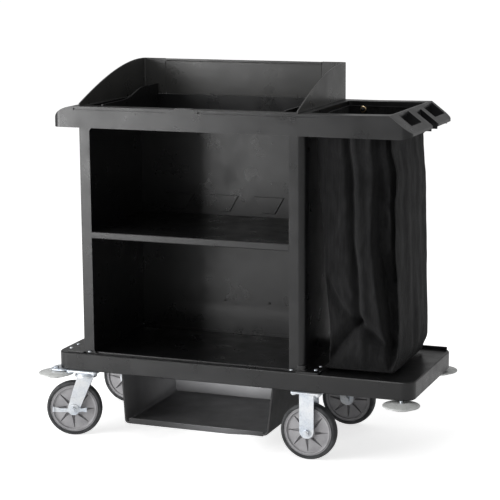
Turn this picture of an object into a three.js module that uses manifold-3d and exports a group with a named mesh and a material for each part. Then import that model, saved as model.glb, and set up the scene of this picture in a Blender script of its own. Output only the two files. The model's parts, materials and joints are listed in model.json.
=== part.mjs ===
// Housekeeping cart: a long deck on four casters carries an open two-shelf cabinet, a top tray with a
// raised three-sided hood, and a frame that holds a fabric laundry bag. A bin hangs under the deck.
//
// Millimetres, +Z up. X runs along the cart (the bag is at +X), Y runs from the open front (-Y) to the
// closed back (+Y). The origin is on the floor, under the middle of the overall box.

import * as THREE from 'three';
import { mergeVertices } from 'three/addons/utils/BufferGeometryUtils.js';
import Module from 'manifold-3d';

const wasm = await Module();
wasm.setup();

// ---------------------------------------------------------------- driving dimensions

const GAP = 0.3; // left between pieces that rest on each other
const OVERALL_HEIGHT = 1270;
const OVERALL_WIDTH = 600; // over the bumpers

const WHEEL_RADIUS = 96;
const TREAD_WIDTH = 36;

const DECK_LEFT = -612;
const DECK_RIGHT = 658;
const DECK_HALF_DEPTH = 246;
const DECK_BOTTOM = 234;
const DECK_TOP = 294;
const DECK_CORNER = 42;
const DECK_WALL = 7;

const CABINET_LEFT = -513; // outer face of the left panel
const CABINET_RIGHT = 262; // outer face of the right panel, without its pilasters
const CABINET_FRONT = -229;
const CABINET_BACK = 254;
const PANEL = 8; // wall thickness of the cabinet panels
const OPENING_LEFT = -475; // clear opening between the front flanges
const OPENING_RIGHT = 233;
const PILASTER_OUTER = 286;
const SHELF_TOP = 718;
const SHELF_LIP = 24;

const RIM_BOTTOM = 1072;
const RIM_TOP = 1143;
const RIM_FRONT = -252;
const RIM_BACK = 260;
const RIM_CORNER = 30;
const RIM_WALL = 7;
const NOSE_LEFT = -602; // rounded push-handle end of the top tray
const NOSE_REACH = 80; // the nose is a quarter ellipse, this long and this tall
const NOSE_RISE = 58;

const MOUTH_LEFT = 295; // inner edges of the bag frame
const MOUTH_RIGHT = 566;
const MOUTH_FRONT = -203;
const MOUTH_BACK = 207;
const SLOPE_TOP_X = 572;
const SLOPE_TOP_Z = 1146;
const SLOPE_END_X = 644;
const SLOPE_END_Z = 1091;

const HOOD_LEFT = -495;
const HOOD_RIGHT = 269;
const HOOD_BACK = 259;
const HOOD_WALL = 5;
const HOOD_RETURN = 88; // how far each wing wraps round onto the back
const HOOD_CORNER = 12;
const HOOD_SPLAY = 14; // how far the left wing leans outwards at its front

const CASTER_Y = 215;
const SWIVEL_X = -516; // kingpin axis of the swivel casters
const TRAIL = 42; // axle behind the kingpin
const FRONT_SWIVEL_DEG = 18; // how far the front swivel caster has turned
const RIGID_X = 298;

const BUMPER_X = 618;
const BUMPER_RADIUS = 61;
const BUMPER_Y = OVERALL_WIDTH / 2 - BUMPER_RADIUS;

// ---------------------------------------------------------------- materials

const cartPlastic = { color: 0x26272a, roughness: 0.55, metalness: 0 };
const hoodPlastic = { color: 0x2c2d2e, roughness: 0.5, metalness: 0 };
const bagFabric = { color: 0x161617, roughness: 0.95, metalness: 0 };
const boardPlastic = { color: 0x1b1b1c, roughness: 0.8, metalness: 0 };
const zincSteel = { color: 0xb9c0c8, roughness: 0.35, metalness: 0.9 };
const hubPlastic = { color: 0x77777c, roughness: 0.5, metalness: 0 };
const tyreRubber = { color: 0x2f3032, roughness: 0.75, metalness: 0 };
const bumperPlastic = { color: 0xb4b6b2, roughness: 0.45, metalness: 0 };

// ---------------------------------------------------------------- solids

const cart = new THREE.Group();

/** Turns a closed three.js geometry into a manifold solid. */
function solid(geometry) {
  const bare = geometry.clone();
  bare.deleteAttribute('normal');
  bare.deleteAttribute('uv');
  const merged = mergeVertices(bare, 1e-3);
  return new wasm.Manifold(new wasm.Mesh({
    numProp: 3,
    vertProperties: new Float32Array(merged.attributes.position.array),
    triVerts: new Uint32Array(merged.index.array),
  }));
}

/** Turns a manifold solid back into a three.js geometry. */
function geometryOf(manifold) {
  const mesh = manifold.getMesh();
  const geometry = new THREE.BufferGeometry();
  geometry.setAttribute('position', new THREE.BufferAttribute(mesh.vertProperties, 3));
  geometry.setIndex(new THREE.BufferAttribute(mesh.triVerts, 1));
  geometry.computeVertexNormals();
  return geometry;
}

/** Adds one named piece to a parent group. */
function addPiece(name, body, finish, parent = cart) {
  const mesh = new THREE.Mesh(geometryOf(body), new THREE.MeshStandardMaterial(finish));
  mesh.name = name;
  parent.add(mesh);
  return mesh;
}

/** Box between two opposite corners. */
function block(x0, x1, y0, y1, z0, z1) {
  const geometry = new THREE.BoxGeometry(x1 - x0, y1 - y0, z1 - z0);
  geometry.translate((x0 + x1) / 2, (y0 + y1) / 2, (z0 + z1) / 2);
  return solid(geometry);
}

/** Upright prism: an outline in (x, y) between two heights. */
function prismZ(outline, z0, z1, curveSegments = 8) {
  const geometry = new THREE.ExtrudeGeometry(outline, {
    depth: z1 - z0, bevelEnabled: false, curveSegments,
  });
  geometry.translate(0, 0, z0);
  return solid(geometry);
}

/** Prism along Y: an outline in (x, z) between two depths. */
function prismY(outline, y0, y1, curveSegments = 8) {
  const geometry = new THREE.ExtrudeGeometry(outline, {
    depth: y1 - y0, bevelEnabled: false, curveSegments,
  });
  geometry.rotateX(Math.PI / 2);
  geometry.translate(0, y1, 0);
  return solid(geometry);
}

/** Prism along X: an outline in (y, z) between two stations. */
function prismX(outline, x0, x1, curveSegments = 8) {
  const geometry = new THREE.ExtrudeGeometry(outline, {
    depth: x1 - x0, bevelEnabled: false, curveSegments,
  });
  geometry.rotateX(Math.PI / 2);
  geometry.rotateZ(Math.PI / 2);
  geometry.translate(x0, 0, 0);
  return solid(geometry);
}

/** Outline through straight-line points. */
function polygon(points) {
  return new THREE.Shape(points.map(([a, b]) => new THREE.Vector2(a, b)));
}

/** Rectangle outline with round corners. */
function roundRect(a0, a1, b0, b1, radius) {
  const outline = new THREE.Shape();
  outline.moveTo(a0 + radius, b0);
  outline.lineTo(a1 - radius, b0);
  outline.absarc(a1 - radius, b0 + radius, radius, -Math.PI / 2, 0, false);
  outline.lineTo(a1, b1 - radius);
  outline.absarc(a1 - radius, b1 - radius, radius, 0, Math.PI / 2, false);
  outline.lineTo(a0 + radius, b1);
  outline.absarc(a0 + radius, b1 - radius, radius, Math.PI / 2, Math.PI, false);
  outline.lineTo(a0, b0 + radius);
  outline.absarc(a0 + radius, b0 + radius, radius, Math.PI, 1.5 * Math.PI, false);
  return outline;
}

/** Solid of revolution about Z from (radius, z) points, listed upwards along the outside. */
function turned(points, segments = 32) {
  const profile = points.map(([r, z]) => new THREE.Vector2(r, z));
  profile.push(profile[0].clone());
  const geometry = new THREE.LatheGeometry(profile, segments);
  geometry.rotateX(Math.PI / 2);
  return solid(geometry);
}

/** Cylinder along Z. */
function post(x, y, radius, z0, z1, segments = 20) {
  const geometry = new THREE.CylinderGeometry(radius, radius, z1 - z0, segments);
  geometry.rotateX(Math.PI / 2);
  geometry.translate(x, y, (z0 + z1) / 2);
  return solid(geometry);
}

/** Cylinder along Y. */
function rod(x, z, radius, y0, y1, segments = 20) {
  const geometry = new THREE.CylinderGeometry(radius, radius, y1 - y0, segments);
  geometry.translate(x, (y0 + y1) / 2, z);
  return solid(geometry);
}

/** Joins several solids into one. */
function join(...bodies) {
  return bodies.reduce((sum, body) => sum.add(body));
}

/** Cuts several solids out of the first one. */
function cut(body, ...tools) {
  return tools.reduce((rest, tool) => rest.subtract(tool), body);
}

// ---------------------------------------------------------------- deck

const FLOOR_RECESS = 272; // top of the sunken floor that the bottom shelf lies in
const RECESS_LEFT = -504;
const RECESS_RIGHT = 253;
const RECESS_FRONT = -224;
const RECESS_BACK = 243;

/** Pockets between the ribs under the deck. */
function deckPockets() {
  const columns = 4;
  const rows = 2;
  const rib = 6;
  const ceilingLow = FLOOR_RECESS - 7;
  const ceilingHigh = DECK_TOP - 8;
  const width = (DECK_RIGHT - DECK_LEFT - 2 * DECK_WALL) / columns;
  const depth = 2 * (DECK_HALF_DEPTH - DECK_WALL) / rows;
  const inside = prismZ(roundRect(DECK_LEFT + DECK_WALL, DECK_RIGHT - DECK_WALL,
    -DECK_HALF_DEPTH + DECK_WALL, DECK_HALF_DEPTH - DECK_WALL, DECK_CORNER - DECK_WALL),
  DECK_BOTTOM - 1, DECK_TOP, 7);
  const pockets = [];
  for (let i = 0; i < columns; i += 1) {
    for (let j = 0; j < rows; j += 1) {
      const x0 = DECK_LEFT + DECK_WALL + i * width;
      const y0 = -DECK_HALF_DEPTH + DECK_WALL + j * depth;
      const overRecess = x0 + width > RECESS_LEFT && x0 < RECESS_RIGHT;
      const ceiling = overRecess ? ceilingLow : ceilingHigh;
      pockets.push(block(x0 + rib / 2, x0 + width - rib / 2, y0 + rib / 2, y0 + depth - rib / 2,
        DECK_BOTTOM - 1, ceiling).intersect(inside));
    }
  }
  return pockets;
}

/** Solid pads under the deck that the casters and bumpers are bolted to. */
function deckPads() {
  const halfDepth = 36;
  const top = FLOOR_RECESS - 2;
  const pads = [];
  for (const side of [-1, 1]) {
    const y = side * (CASTER_Y - 6);
    for (const [x, halfLength] of [[SWIVEL_X, 60], [RIGID_X, 55]]) {
      pads.push(block(x - halfLength, x + halfLength, y - halfDepth, y + halfDepth, DECK_BOTTOM, top));
    }
    pads.push(post(BUMPER_X, side * (BUMPER_Y - 18), 22, DECK_BOTTOM, DECK_TOP - 4));
    pads.push(post(DECK_LEFT + 30, side * (BUMPER_Y - 25), 18, DECK_BOTTOM, DECK_TOP - 4));
  }
  return pads;
}

function deck() {
  const bevel = 3;
  const geometry = new THREE.ExtrudeGeometry(
    roundRect(DECK_LEFT, DECK_RIGHT, -DECK_HALF_DEPTH, DECK_HALF_DEPTH, DECK_CORNER),
    {
      depth: DECK_TOP - DECK_BOTTOM - 2 * bevel,
      bevelEnabled: true,
      bevelThickness: bevel,
      bevelSize: bevel,
      bevelOffset: -bevel,
      bevelSegments: 1,
      curveSegments: 7,
    },
  );
  geometry.translate(0, 0, DECK_BOTTOM + bevel);
  const slab = solid(geometry);
  const recess = block(RECESS_LEFT, RECESS_RIGHT, RECESS_FRONT, RECESS_BACK,
    FLOOR_RECESS, DECK_TOP + 1);
  // A low curb runs round the bag end, with a shallow tray floor inside it and a lip behind.
  const curb = 9;
  const trayFloor = prismZ(roundRect(PILASTER_OUTER + 62, DECK_RIGHT - curb,
    -DECK_HALF_DEPTH + 30, DECK_HALF_DEPTH - curb, 30), DECK_TOP - 4, DECK_TOP + 1, 6);
  const backLip = block(DECK_RIGHT - 112, DECK_RIGHT - 16, DECK_HALF_DEPTH - 8,
    DECK_HALF_DEPTH - 3, DECK_TOP - 5, DECK_TOP + 7);
  const ribbed = join(cut(slab, ...deckPockets()), ...deckPads());
  return join(cut(ribbed.intersect(slab), recess, trayFloor), backLip);
}

addPiece('deck', deck(), cartPlastic);

// ---------------------------------------------------------------- cabinet

const PANEL_BOTTOM = DECK_TOP + GAP;
const PANEL_TOP = RIM_BOTTOM - GAP;

/** Flat foot that a panel is screwed down by. */
function foot(x0, x1, y0, y1) {
  return prismZ(roundRect(x0, x1, y0, y1, 7), PANEL_BOTTOM, PANEL_BOTTOM + 5, 3);
}

/** Left panel: a wall with a front flange and two feet that stand outwards on the deck. */
function leftPanel() {
  const wall = block(CABINET_LEFT, CABINET_LEFT + PANEL, CABINET_FRONT, CABINET_BACK,
    PANEL_BOTTOM, PANEL_TOP);
  const flange = block(CABINET_LEFT, OPENING_LEFT, CABINET_FRONT, CABINET_FRONT + PANEL,
    PANEL_BOTTOM, PANEL_TOP);
  const footDepth = 76;
  const footReach = 62;
  const feet = [CABINET_FRONT - 10, CABINET_BACK - 94].map((y) => foot(
    CABINET_LEFT - footReach, CABINET_LEFT + 4, y, y + footDepth));
  return join(wall, flange, ...feet);
}

/** Plan of the right panel: front flange, wall, and a round-nosed column at each end outside. */
function rightPanelPlan() {
  const radius = 22;
  const column = 46;
  const outline = new THREE.Shape();
  outline.moveTo(OPENING_RIGHT, CABINET_FRONT);
  outline.lineTo(PILASTER_OUTER - radius, CABINET_FRONT);
  outline.absarc(PILASTER_OUTER - radius, CABINET_FRONT + radius, radius, -Math.PI / 2, 0, false);
  outline.lineTo(PILASTER_OUTER, CABINET_FRONT + column);
  outline.lineTo(CABINET_RIGHT, CABINET_FRONT + column);
  outline.lineTo(CABINET_RIGHT, CABINET_BACK - column);
  outline.lineTo(PILASTER_OUTER, CABINET_BACK - column);
  outline.lineTo(PILASTER_OUTER, CABINET_BACK - radius);
  outline.absarc(PILASTER_OUTER - radius, CABINET_BACK - radius, radius, 0, Math.PI / 2, false);
  outline.lineTo(CABINET_RIGHT - PANEL, CABINET_BACK);
  outline.lineTo(CABINET_RIGHT - PANEL, CABINET_FRONT + PANEL);
  outline.lineTo(OPENING_RIGHT, CABINET_FRONT + PANEL);
  outline.closePath();
  return outline;
}

/** Foot of a column: two slabs that widen downwards. */
function flare(y0, y1) {
  const slabs = [];
  for (const [spread, height] of [[9, 9], [4, 22]]) {
    slabs.push(prismZ(roundRect(CABINET_RIGHT - 5, PILASTER_OUTER + spread, y0 - spread / 2,
      y1 + spread, 10), PANEL_BOTTOM, PANEL_BOTTOM + height, 4));
  }
  return slabs;
}

function rightPanel() {
  const body = prismZ(rightPanelPlan(), PANEL_BOTTOM, PANEL_TOP, 5);
  const footDepth = 70;
  const footReach = 52;
  const feet = [CABINET_FRONT - 12, CABINET_BACK - 82].map((y) => foot(
    CABINET_RIGHT - 4, PILASTER_OUTER + footReach, y, y + footDepth));
  const flares = [
    ...flare(CABINET_FRONT, CABINET_FRONT + 40),
    ...flare(CABINET_BACK - 50, CABINET_BACK - 20),
  ];
  return join(body, ...feet, ...flares);
}

const BACK_INNER = CABINET_BACK - PANEL; // inner face of the back panel
const BACK_LEDGE = 6; // how far the back panel's foot stands forward of that face

/** Raised pad on the back panel, wide at the top, above the middle shelf. */
function backPad(centreX) {
  const low = { half: 22, z: SHELF_TOP + 12 };
  const high = { half: 55, z: SHELF_TOP + 70 };
  const outline = polygon([
    [centreX - low.half, low.z],
    [centreX + low.half, low.z],
    [centreX + high.half, high.z],
    [centreX - high.half, high.z],
  ]);
  return prismY(outline, BACK_INNER - 4, BACK_INNER + 1, 1);
}

/** Back panel: a sheet that is thicker at its foot, with four pads above the shelf. */
function backPanel() {
  const outer = CABINET_BACK - 2;
  const step = BACK_INNER - BACK_LEDGE;
  const profile = polygon([
    [step, PANEL_BOTTOM],
    [outer, PANEL_BOTTOM],
    [outer, PANEL_TOP],
    [BACK_INNER, PANEL_TOP],
    [BACK_INNER, PANEL_BOTTOM + 104],
    [step, PANEL_BOTTOM + 80],
  ]);
  const left = CABINET_LEFT + PANEL + GAP;
  const right = CABINET_RIGHT - PANEL - GAP;
  const padSpacing = 172;
  const pads = [0, 1, 2, 3].map((i) => backPad(-355 + i * padSpacing));
  return join(prismX(profile, left, right, 1), ...pads);
}

function middleShelf() {
  const left = CABINET_LEFT + PANEL + GAP;
  const right = CABINET_RIGHT - PANEL - GAP;
  const behindFlange = CABINET_FRONT + PANEL + GAP;
  const board = block(left, right, behindFlange, BACK_INNER - 5, SHELF_TOP - 17, SHELF_TOP - 2);
  const lip = prismX(roundRect(CABINET_FRONT - 1, behindFlange + 8, SHELF_TOP - SHELF_LIP,
    SHELF_TOP, 4), OPENING_LEFT + GAP, OPENING_RIGHT - GAP, 3);
  const ribs = [-160, -40, 80, 200].map((y) => block(left + 4, right - 4, y, y + 5,
    SHELF_TOP - SHELF_LIP + 2, SHELF_TOP - 10));
  return join(board, lip, ...ribs);
}

const BOTTOM_SHELF_TOP = 284;

/** Floor pan of the lower compartment, with a raised front lip. */
function bottomShelf() {
  const left = RECESS_LEFT + GAP;
  const right = RECESS_RIGHT - GAP;
  const front = CABINET_FRONT + PANEL + GAP;
  const floor = block(left, right, front, BACK_INNER - BACK_LEDGE - GAP,
    FLOOR_RECESS + GAP, BOTTOM_SHELF_TOP);
  const lip = prismX(roundRect(front, front + 12, FLOOR_RECESS + GAP, DECK_TOP + 6, 3),
    left, right, 3);
  return join(floor, lip);
}

/** Round-headed pin that the middle shelf rests on. */
function shelfPin(wallX, inward, y) {
  const radius = 4;
  const geometry = new THREE.CylinderGeometry(radius, radius, 14, 12);
  geometry.rotateZ(Math.PI / 2);
  geometry.translate(wallX + inward * (7 + GAP), y, SHELF_TOP - SHELF_LIP - radius - GAP);
  return solid(geometry);
}

addPiece('left_panel', leftPanel(), cartPlastic);
addPiece('right_panel', rightPanel(), cartPlastic);
addPiece('back_panel', backPanel(), cartPlastic);
addPiece('middle_shelf', middleShelf(), cartPlastic);
addPiece('bottom_shelf', bottomShelf(), cartPlastic);

const PIN_INSET = 60;
const pinSides = [['left', CABINET_LEFT + PANEL, 1], ['right', CABINET_RIGHT - PANEL, -1]];
for (const [side, wallX, inward] of pinSides) {
  addPiece(`shelf_pin_front_${side}`, shelfPin(wallX, inward, CABINET_FRONT + PIN_INSET), zincSteel);
  addPiece(`shelf_pin_back_${side}`, shelfPin(wallX, inward, CABINET_BACK - PIN_INSET), zincSteel);
}

// ---------------------------------------------------------------- top tray and bag frame

const TRAY_FLOOR = 1088;
const TRAY_LEFT = -484;
const TRAY_RIGHT = 258;
const TRAY_FRONT = -205;
const TRAY_BACK = 250;
const CHANNEL_CEILING = RIM_TOP - 6;

/** Side view of the whole moulding: round nose at the left, sloped end at the right. */
function trayOutline() {
  const outline = new THREE.Shape();
  outline.moveTo(NOSE_LEFT, RIM_BOTTOM);
  outline.lineTo(SLOPE_END_X - 34, RIM_BOTTOM);
  outline.lineTo(SLOPE_END_X, SLOPE_END_Z - 9);
  outline.lineTo(SLOPE_END_X, SLOPE_END_Z);
  outline.lineTo(SLOPE_TOP_X, SLOPE_TOP_Z);
  outline.lineTo(MOUTH_LEFT + 90, RIM_TOP);
  outline.lineTo(NOSE_LEFT + NOSE_REACH, RIM_TOP);
  outline.absellipse(NOSE_LEFT + NOSE_REACH, RIM_TOP - NOSE_RISE, NOSE_REACH, NOSE_RISE,
    Math.PI / 2, Math.PI, false);
  outline.closePath();
  return outline;
}

/** Plan of the moulding drawn in by its wall, so that hollows keep the round corners closed. */
function insidePlan() {
  return prismZ(roundRect(NOSE_LEFT + RIM_WALL, SLOPE_END_X - RIM_WALL, RIM_FRONT + RIM_WALL,
    RIM_BACK - RIM_WALL, RIM_CORNER - RIM_WALL), RIM_BOTTOM - 2, SLOPE_TOP_Z, 6);
}

/** Hand hollow under the round nose. */
function noseHollow() {
  const wall = RIM_WALL;
  const centreX = NOSE_LEFT + NOSE_REACH;
  const outline = new THREE.Shape();
  outline.moveTo(NOSE_LEFT + wall, RIM_BOTTOM - 1);
  outline.lineTo(CABINET_LEFT - 6, RIM_BOTTOM - 1);
  outline.lineTo(CABINET_LEFT - 6, RIM_TOP - wall);
  outline.lineTo(centreX, RIM_TOP - wall);
  outline.absellipse(centreX, RIM_TOP - NOSE_RISE, NOSE_REACH - wall, NOSE_RISE - wall,
    Math.PI / 2, Math.PI, false);
  outline.closePath();
  return prismY(outline, RIM_FRONT, RIM_BACK, 8).intersect(insidePlan());
}

const SLOPE_WALL = 5;
const SLOPE_WINDOWS = [[-168, -50], [114, 238]]; // front and back edge of each window
const NOTCH = [6, 74]; // front and back edge of the notch
const NOTCH_X = SLOPE_TOP_X + 12;

/** Height of the sloped surface at a station along X. */
function slopeHeight(x) {
  const drop = (SLOPE_TOP_Z - SLOPE_END_Z) / (SLOPE_END_X - SLOPE_TOP_X);
  return SLOPE_TOP_Z - drop * (x - SLOPE_TOP_X);
}

/** Outline in (x, z) under the sloped surface, a wall thickness below it. */
function underSlope(x0, x1, bottom, wall) {
  return polygon([
    [x0, bottom],
    [x1, bottom],
    [x1, slopeHeight(x1) - wall],
    [x0 + 8, slopeHeight(x0 + 8) - wall],
    [x0, slopeHeight(x0 + 8) - wall],
  ]);
}

/** Hollow under the sloped end, open at the bottom. */
function slopeHollow() {
  const outline = underSlope(MOUTH_RIGHT + SLOPE_WALL, SLOPE_END_X - SLOPE_WALL, RIM_BOTTOM - 1, 7);
  return prismY(outline, RIM_FRONT, RIM_BACK, 1).intersect(insidePlan());
}

/** Notch plan: square inside, with its two outer corners rounded back. */
function notchOutline() {
  const [front, back] = NOTCH;
  const curl = 6;
  const outline = new THREE.Shape();
  outline.moveTo(NOTCH_X, front);
  outline.lineTo(SLOPE_END_X - curl, front);
  outline.quadraticCurveTo(SLOPE_END_X, front, SLOPE_END_X + 1, front - curl);
  outline.lineTo(SLOPE_END_X + 30, front - curl);
  outline.lineTo(SLOPE_END_X + 30, back + curl);
  outline.lineTo(SLOPE_END_X + 1, back + curl);
  outline.quadraticCurveTo(SLOPE_END_X, back, SLOPE_END_X - curl, back);
  outline.lineTo(NOTCH_X, back);
  outline.closePath();
  return outline;
}

/** Two windows and an open-ended notch through the sloped end. */
function slopeWindows() {
  const top = RIM_TOP + 20;
  const windows = SLOPE_WINDOWS.map(([front, back]) => prismZ(
    roundRect(SLOPE_TOP_X + 4, SLOPE_END_X - 22, front, back, 2), RIM_BOTTOM - 1, top, 2));
  return [...windows, prismZ(notchOutline(), RIM_BOTTOM - 1, top, 4)];
}

/** Ribs under the slope beside the windows and the notch, and the notch's inner wall. */
function slopeRibs() {
  const rib = 5;
  const stations = [
    [SLOPE_WINDOWS[0][1], 14],
    [NOTCH[0] - rib, 4],
    [NOTCH[1], 4],
    [SLOPE_WINDOWS[1][1], 14],
  ];
  const ribs = stations.map(([y, inset]) => prismY(
    underSlope(MOUTH_RIGHT + 2, SLOPE_END_X - inset, RIM_BOTTOM + 1, 1), y, y + rib, 1));
  const notchWall = block(NOTCH_X - rib, NOTCH_X, NOTCH[0] - rib, NOTCH[1] + rib,
    RIM_BOTTOM + 1, slopeHeight(NOTCH_X) - 2);
  return [...ribs, notchWall];
}

/** Channels under the long rails, with ribs left between them. */
function railChannels(x0, x1, y0, y1) {
  const rib = 5;
  const pitch = 200;
  const count = Math.ceil((x1 - x0) / pitch);
  const width = (x1 - x0) / count;
  const channels = [];
  for (let i = 0; i < count; i += 1) {
    channels.push(block(x0 + i * width + rib / 2, x0 + (i + 1) * width - rib / 2, y0, y1,
      RIM_BOTTOM - 1, CHANNEL_CEILING));
  }
  return channels;
}

const PAD_LEFT = -186; // raised pad in the middle of the front rim
const PAD_RIGHT = -73;

/** Groove under the lip on the front face, interrupted by the centre pad. */
function lipGrooves() {
  const depth = 4;
  const z0 = RIM_TOP - 11;
  const z1 = RIM_TOP - 5;
  return [[NOSE_LEFT + NOSE_REACH, PAD_LEFT], [PAD_RIGHT, MOUTH_LEFT + 40]].map(
    ([x0, x1]) => block(x0, x1, RIM_FRONT - 1, RIM_FRONT + depth, z0, z1));
}

/** Pad in (x, z) that joins the lip to the front face, narrower at its top. */
function centrePad() {
  const outline = polygon([
    [PAD_LEFT, RIM_TOP - 12],
    [PAD_RIGHT, RIM_TOP - 12],
    [PAD_RIGHT - 24, RIM_TOP + 4],
    [PAD_LEFT + 36, RIM_TOP + 4],
  ]);
  return prismY(outline, RIM_FRONT, RIM_FRONT + 20, 1);
}

/** Low wall inside the tray that rises in an S towards the back. */
function trayWall(x) {
  const thickness = 6;
  const front = TRAY_FRONT + 1;
  const back = TRAY_BACK - 3;
  const low = RIM_TOP + 4;
  const high = RIM_TOP + 37;
  const rampFront = -50; // the top edge climbs from here
  const rampBack = 135;
  const outline = new THREE.Shape();
  outline.moveTo(front, TRAY_FLOOR - 1);
  outline.lineTo(back, TRAY_FLOOR - 1);
  outline.lineTo(back, high);
  outline.lineTo(rampBack, high);
  outline.bezierCurveTo(rampBack - 75, high, rampFront + 90, low + 1, rampFront, low);
  outline.lineTo(front, low);
  outline.closePath();
  return prismX(outline, x - thickness / 2, x + thickness / 2, 6);
}

function topTray() {
  const moulding = prismY(trayOutline(), RIM_FRONT, RIM_BACK, 8);
  const plan = prismZ(roundRect(NOSE_LEFT, SLOPE_END_X, RIM_FRONT, RIM_BACK, RIM_CORNER),
    RIM_BOTTOM - 5, SLOPE_TOP_Z + 5, 6);
  const cavity = prismZ(roundRect(TRAY_LEFT, TRAY_RIGHT, TRAY_FRONT, TRAY_BACK, 12),
    TRAY_FLOOR, RIM_TOP + 10, 3);
  const underFloor = prismZ(roundRect(TRAY_LEFT + 20, TRAY_RIGHT - 20, TRAY_FRONT + 5,
    TRAY_BACK - 15, 8), RIM_BOTTOM - 1, TRAY_FLOOR - 6, 2);
  const mouth = prismZ(roundRect(MOUTH_LEFT, MOUTH_RIGHT, MOUTH_FRONT, MOUTH_BACK, 14),
    RIM_BOTTOM - 1, SLOPE_TOP_Z + 5, 4);
  const frontRail = railChannels(CABINET_LEFT + 4, MOUTH_RIGHT, RIM_FRONT + 7, MOUTH_FRONT - 7);
  const backRail = railChannels(MOUTH_LEFT - 4, MOUTH_RIGHT, MOUTH_BACK + 7, RIM_BACK - 7);
  const body = cut(moulding.intersect(plan), cavity, underFloor, mouth, noseHollow(), slopeHollow(),
    ...slopeWindows(), ...frontRail, ...backRail, ...lipGrooves());
  const inset = 58; // between a hood wing and the low wall beside it
  return join(body, centrePad(), ...slopeRibs(), trayWall(HOOD_LEFT + inset),
    trayWall(HOOD_RIGHT - inset));
}

addPiece('top_tray', topTray(), cartPlastic);

// ---------------------------------------------------------------- hood

const HOOD_BOTTOM = RIM_TOP + GAP;
const HOOD_FRONT = -238;

/** Side profile of a wing in (y, z): nearly straight at the front, then curving level at the back. */
function wingProfile() {
  const outline = new THREE.Shape();
  outline.moveTo(HOOD_BACK + 1, HOOD_BOTTOM);
  outline.lineTo(HOOD_BACK + 1, OVERALL_HEIGHT);
  outline.lineTo(HOOD_BACK - 44, OVERALL_HEIGHT);
  outline.bezierCurveTo(60, OVERALL_HEIGHT - 4, -110, HOOD_BOTTOM + 61, HOOD_FRONT, HOOD_BOTTOM + 8);
  outline.lineTo(HOOD_FRONT, HOOD_BOTTOM);
  outline.closePath();
  return outline;
}

/** One wing: a side sheet that turns the back corner and returns along the back. */
function hoodWing(outerX, inward, splay) {
  const outer = new THREE.Shape();
  const radius = HOOD_CORNER;
  const seam = outerX + inward * HOOD_RETURN;
  const inner = outerX + inward * HOOD_WALL;
  outer.moveTo(outerX - inward * splay, HOOD_FRONT);
  outer.lineTo(outerX, HOOD_BACK - radius);
  outer.quadraticCurveTo(outerX, HOOD_BACK, outerX + inward * radius, HOOD_BACK);
  outer.lineTo(seam, HOOD_BACK);
  outer.lineTo(seam, HOOD_BACK - HOOD_WALL);
  outer.lineTo(outerX + inward * radius, HOOD_BACK - HOOD_WALL);
  outer.quadraticCurveTo(inner, HOOD_BACK - HOOD_WALL, inner, HOOD_BACK - radius);
  outer.lineTo(inner - inward * splay, HOOD_FRONT);
  outer.closePath();
  const wall = prismZ(outer, HOOD_BOTTOM, OVERALL_HEIGHT, 4);
  const reach = splay + 1;
  const profile = prismX(wingProfile(), Math.min(outerX, seam) - reach,
    Math.max(outerX, seam) + reach, 14);
  return wall.intersect(profile);
}

function hoodBack() {
  const left = HOOD_LEFT + HOOD_RETURN + GAP;
  const right = HOOD_RIGHT - HOOD_RETURN - GAP;
  const sheet = block(left, right, HOOD_BACK - HOOD_WALL, HOOD_BACK, HOOD_BOTTOM, OVERALL_HEIGHT - 1);
  const topBead = block(left, right, HOOD_BACK - HOOD_WALL - 3, HOOD_BACK,
    OVERALL_HEIGHT - 9, OVERALL_HEIGHT - 1);
  return join(sheet, topBead);
}

addPiece('hood_left', hoodWing(HOOD_LEFT, 1, HOOD_SPLAY), hoodPlastic);
addPiece('hood_right', hoodWing(HOOD_RIGHT, -1, 0), hoodPlastic);
addPiece('hood_back', hoodBack(), hoodPlastic);

// ---------------------------------------------------------------- laundry bag

const BAG_BOTTOM = 300;
const BAG_TOP = 1128;
const BAG_WALL = 7;

/** Bag section at a height: the mouth is wide, the front narrows towards the base. */
function bagSection(level) {
  const mouth = { left: 312, right: 560, front: -196, back: 200 };
  const base = { left: 330, right: 572, front: -166, back: 204 };
  const mix = (a, b) => a + (b - a) * level;
  return {
    left: mix(base.left, mouth.left),
    right: mix(base.right, mouth.right),
    front: mix(base.front, mouth.front),
    back: mix(base.back, mouth.back),
  };
}

/** Tapered block of the bag between two levels, drawn in by a wall thickness. */
function bagLoft(inset, bottomLevel, topLevel) {
  const height = BAG_TOP - BAG_BOTTOM;
  const geometry = new THREE.BoxGeometry(1, 1, 1);
  const corners = geometry.attributes.position;
  for (let i = 0; i < corners.count; i += 1) {
    const level = corners.getZ(i) > 0 ? topLevel : bottomLevel;
    const section = bagSection(level);
    const x = corners.getX(i) > 0 ? section.right - inset : section.left + inset;
    const y = corners.getY(i) > 0 ? section.back - inset : section.front + inset;
    corners.setXYZ(i, x, y, BAG_BOTTOM + level * height);
  }
  return solid(geometry);
}

/** Stiff board that lies in the bottom of the bag. */
function bagBoard() {
  const section = bagSection(0);
  const inset = BAG_WALL + 4;
  const z0 = BAG_BOTTOM + BAG_WALL + GAP;
  return prismZ(roundRect(section.left + inset, section.right - inset, section.front + inset,
    section.back - inset, 8), z0, z0 + 5, 3);
}

const bagFloorLevel = BAG_WALL / (BAG_TOP - BAG_BOTTOM);
addPiece('laundry_bag', cut(bagLoft(0, 0, 1), bagLoft(BAG_WALL, bagFloorLevel, 1.01)), bagFabric);
addPiece('bag_base_board', bagBoard(), boardPlastic);

// ---------------------------------------------------------------- bin under the deck

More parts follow.
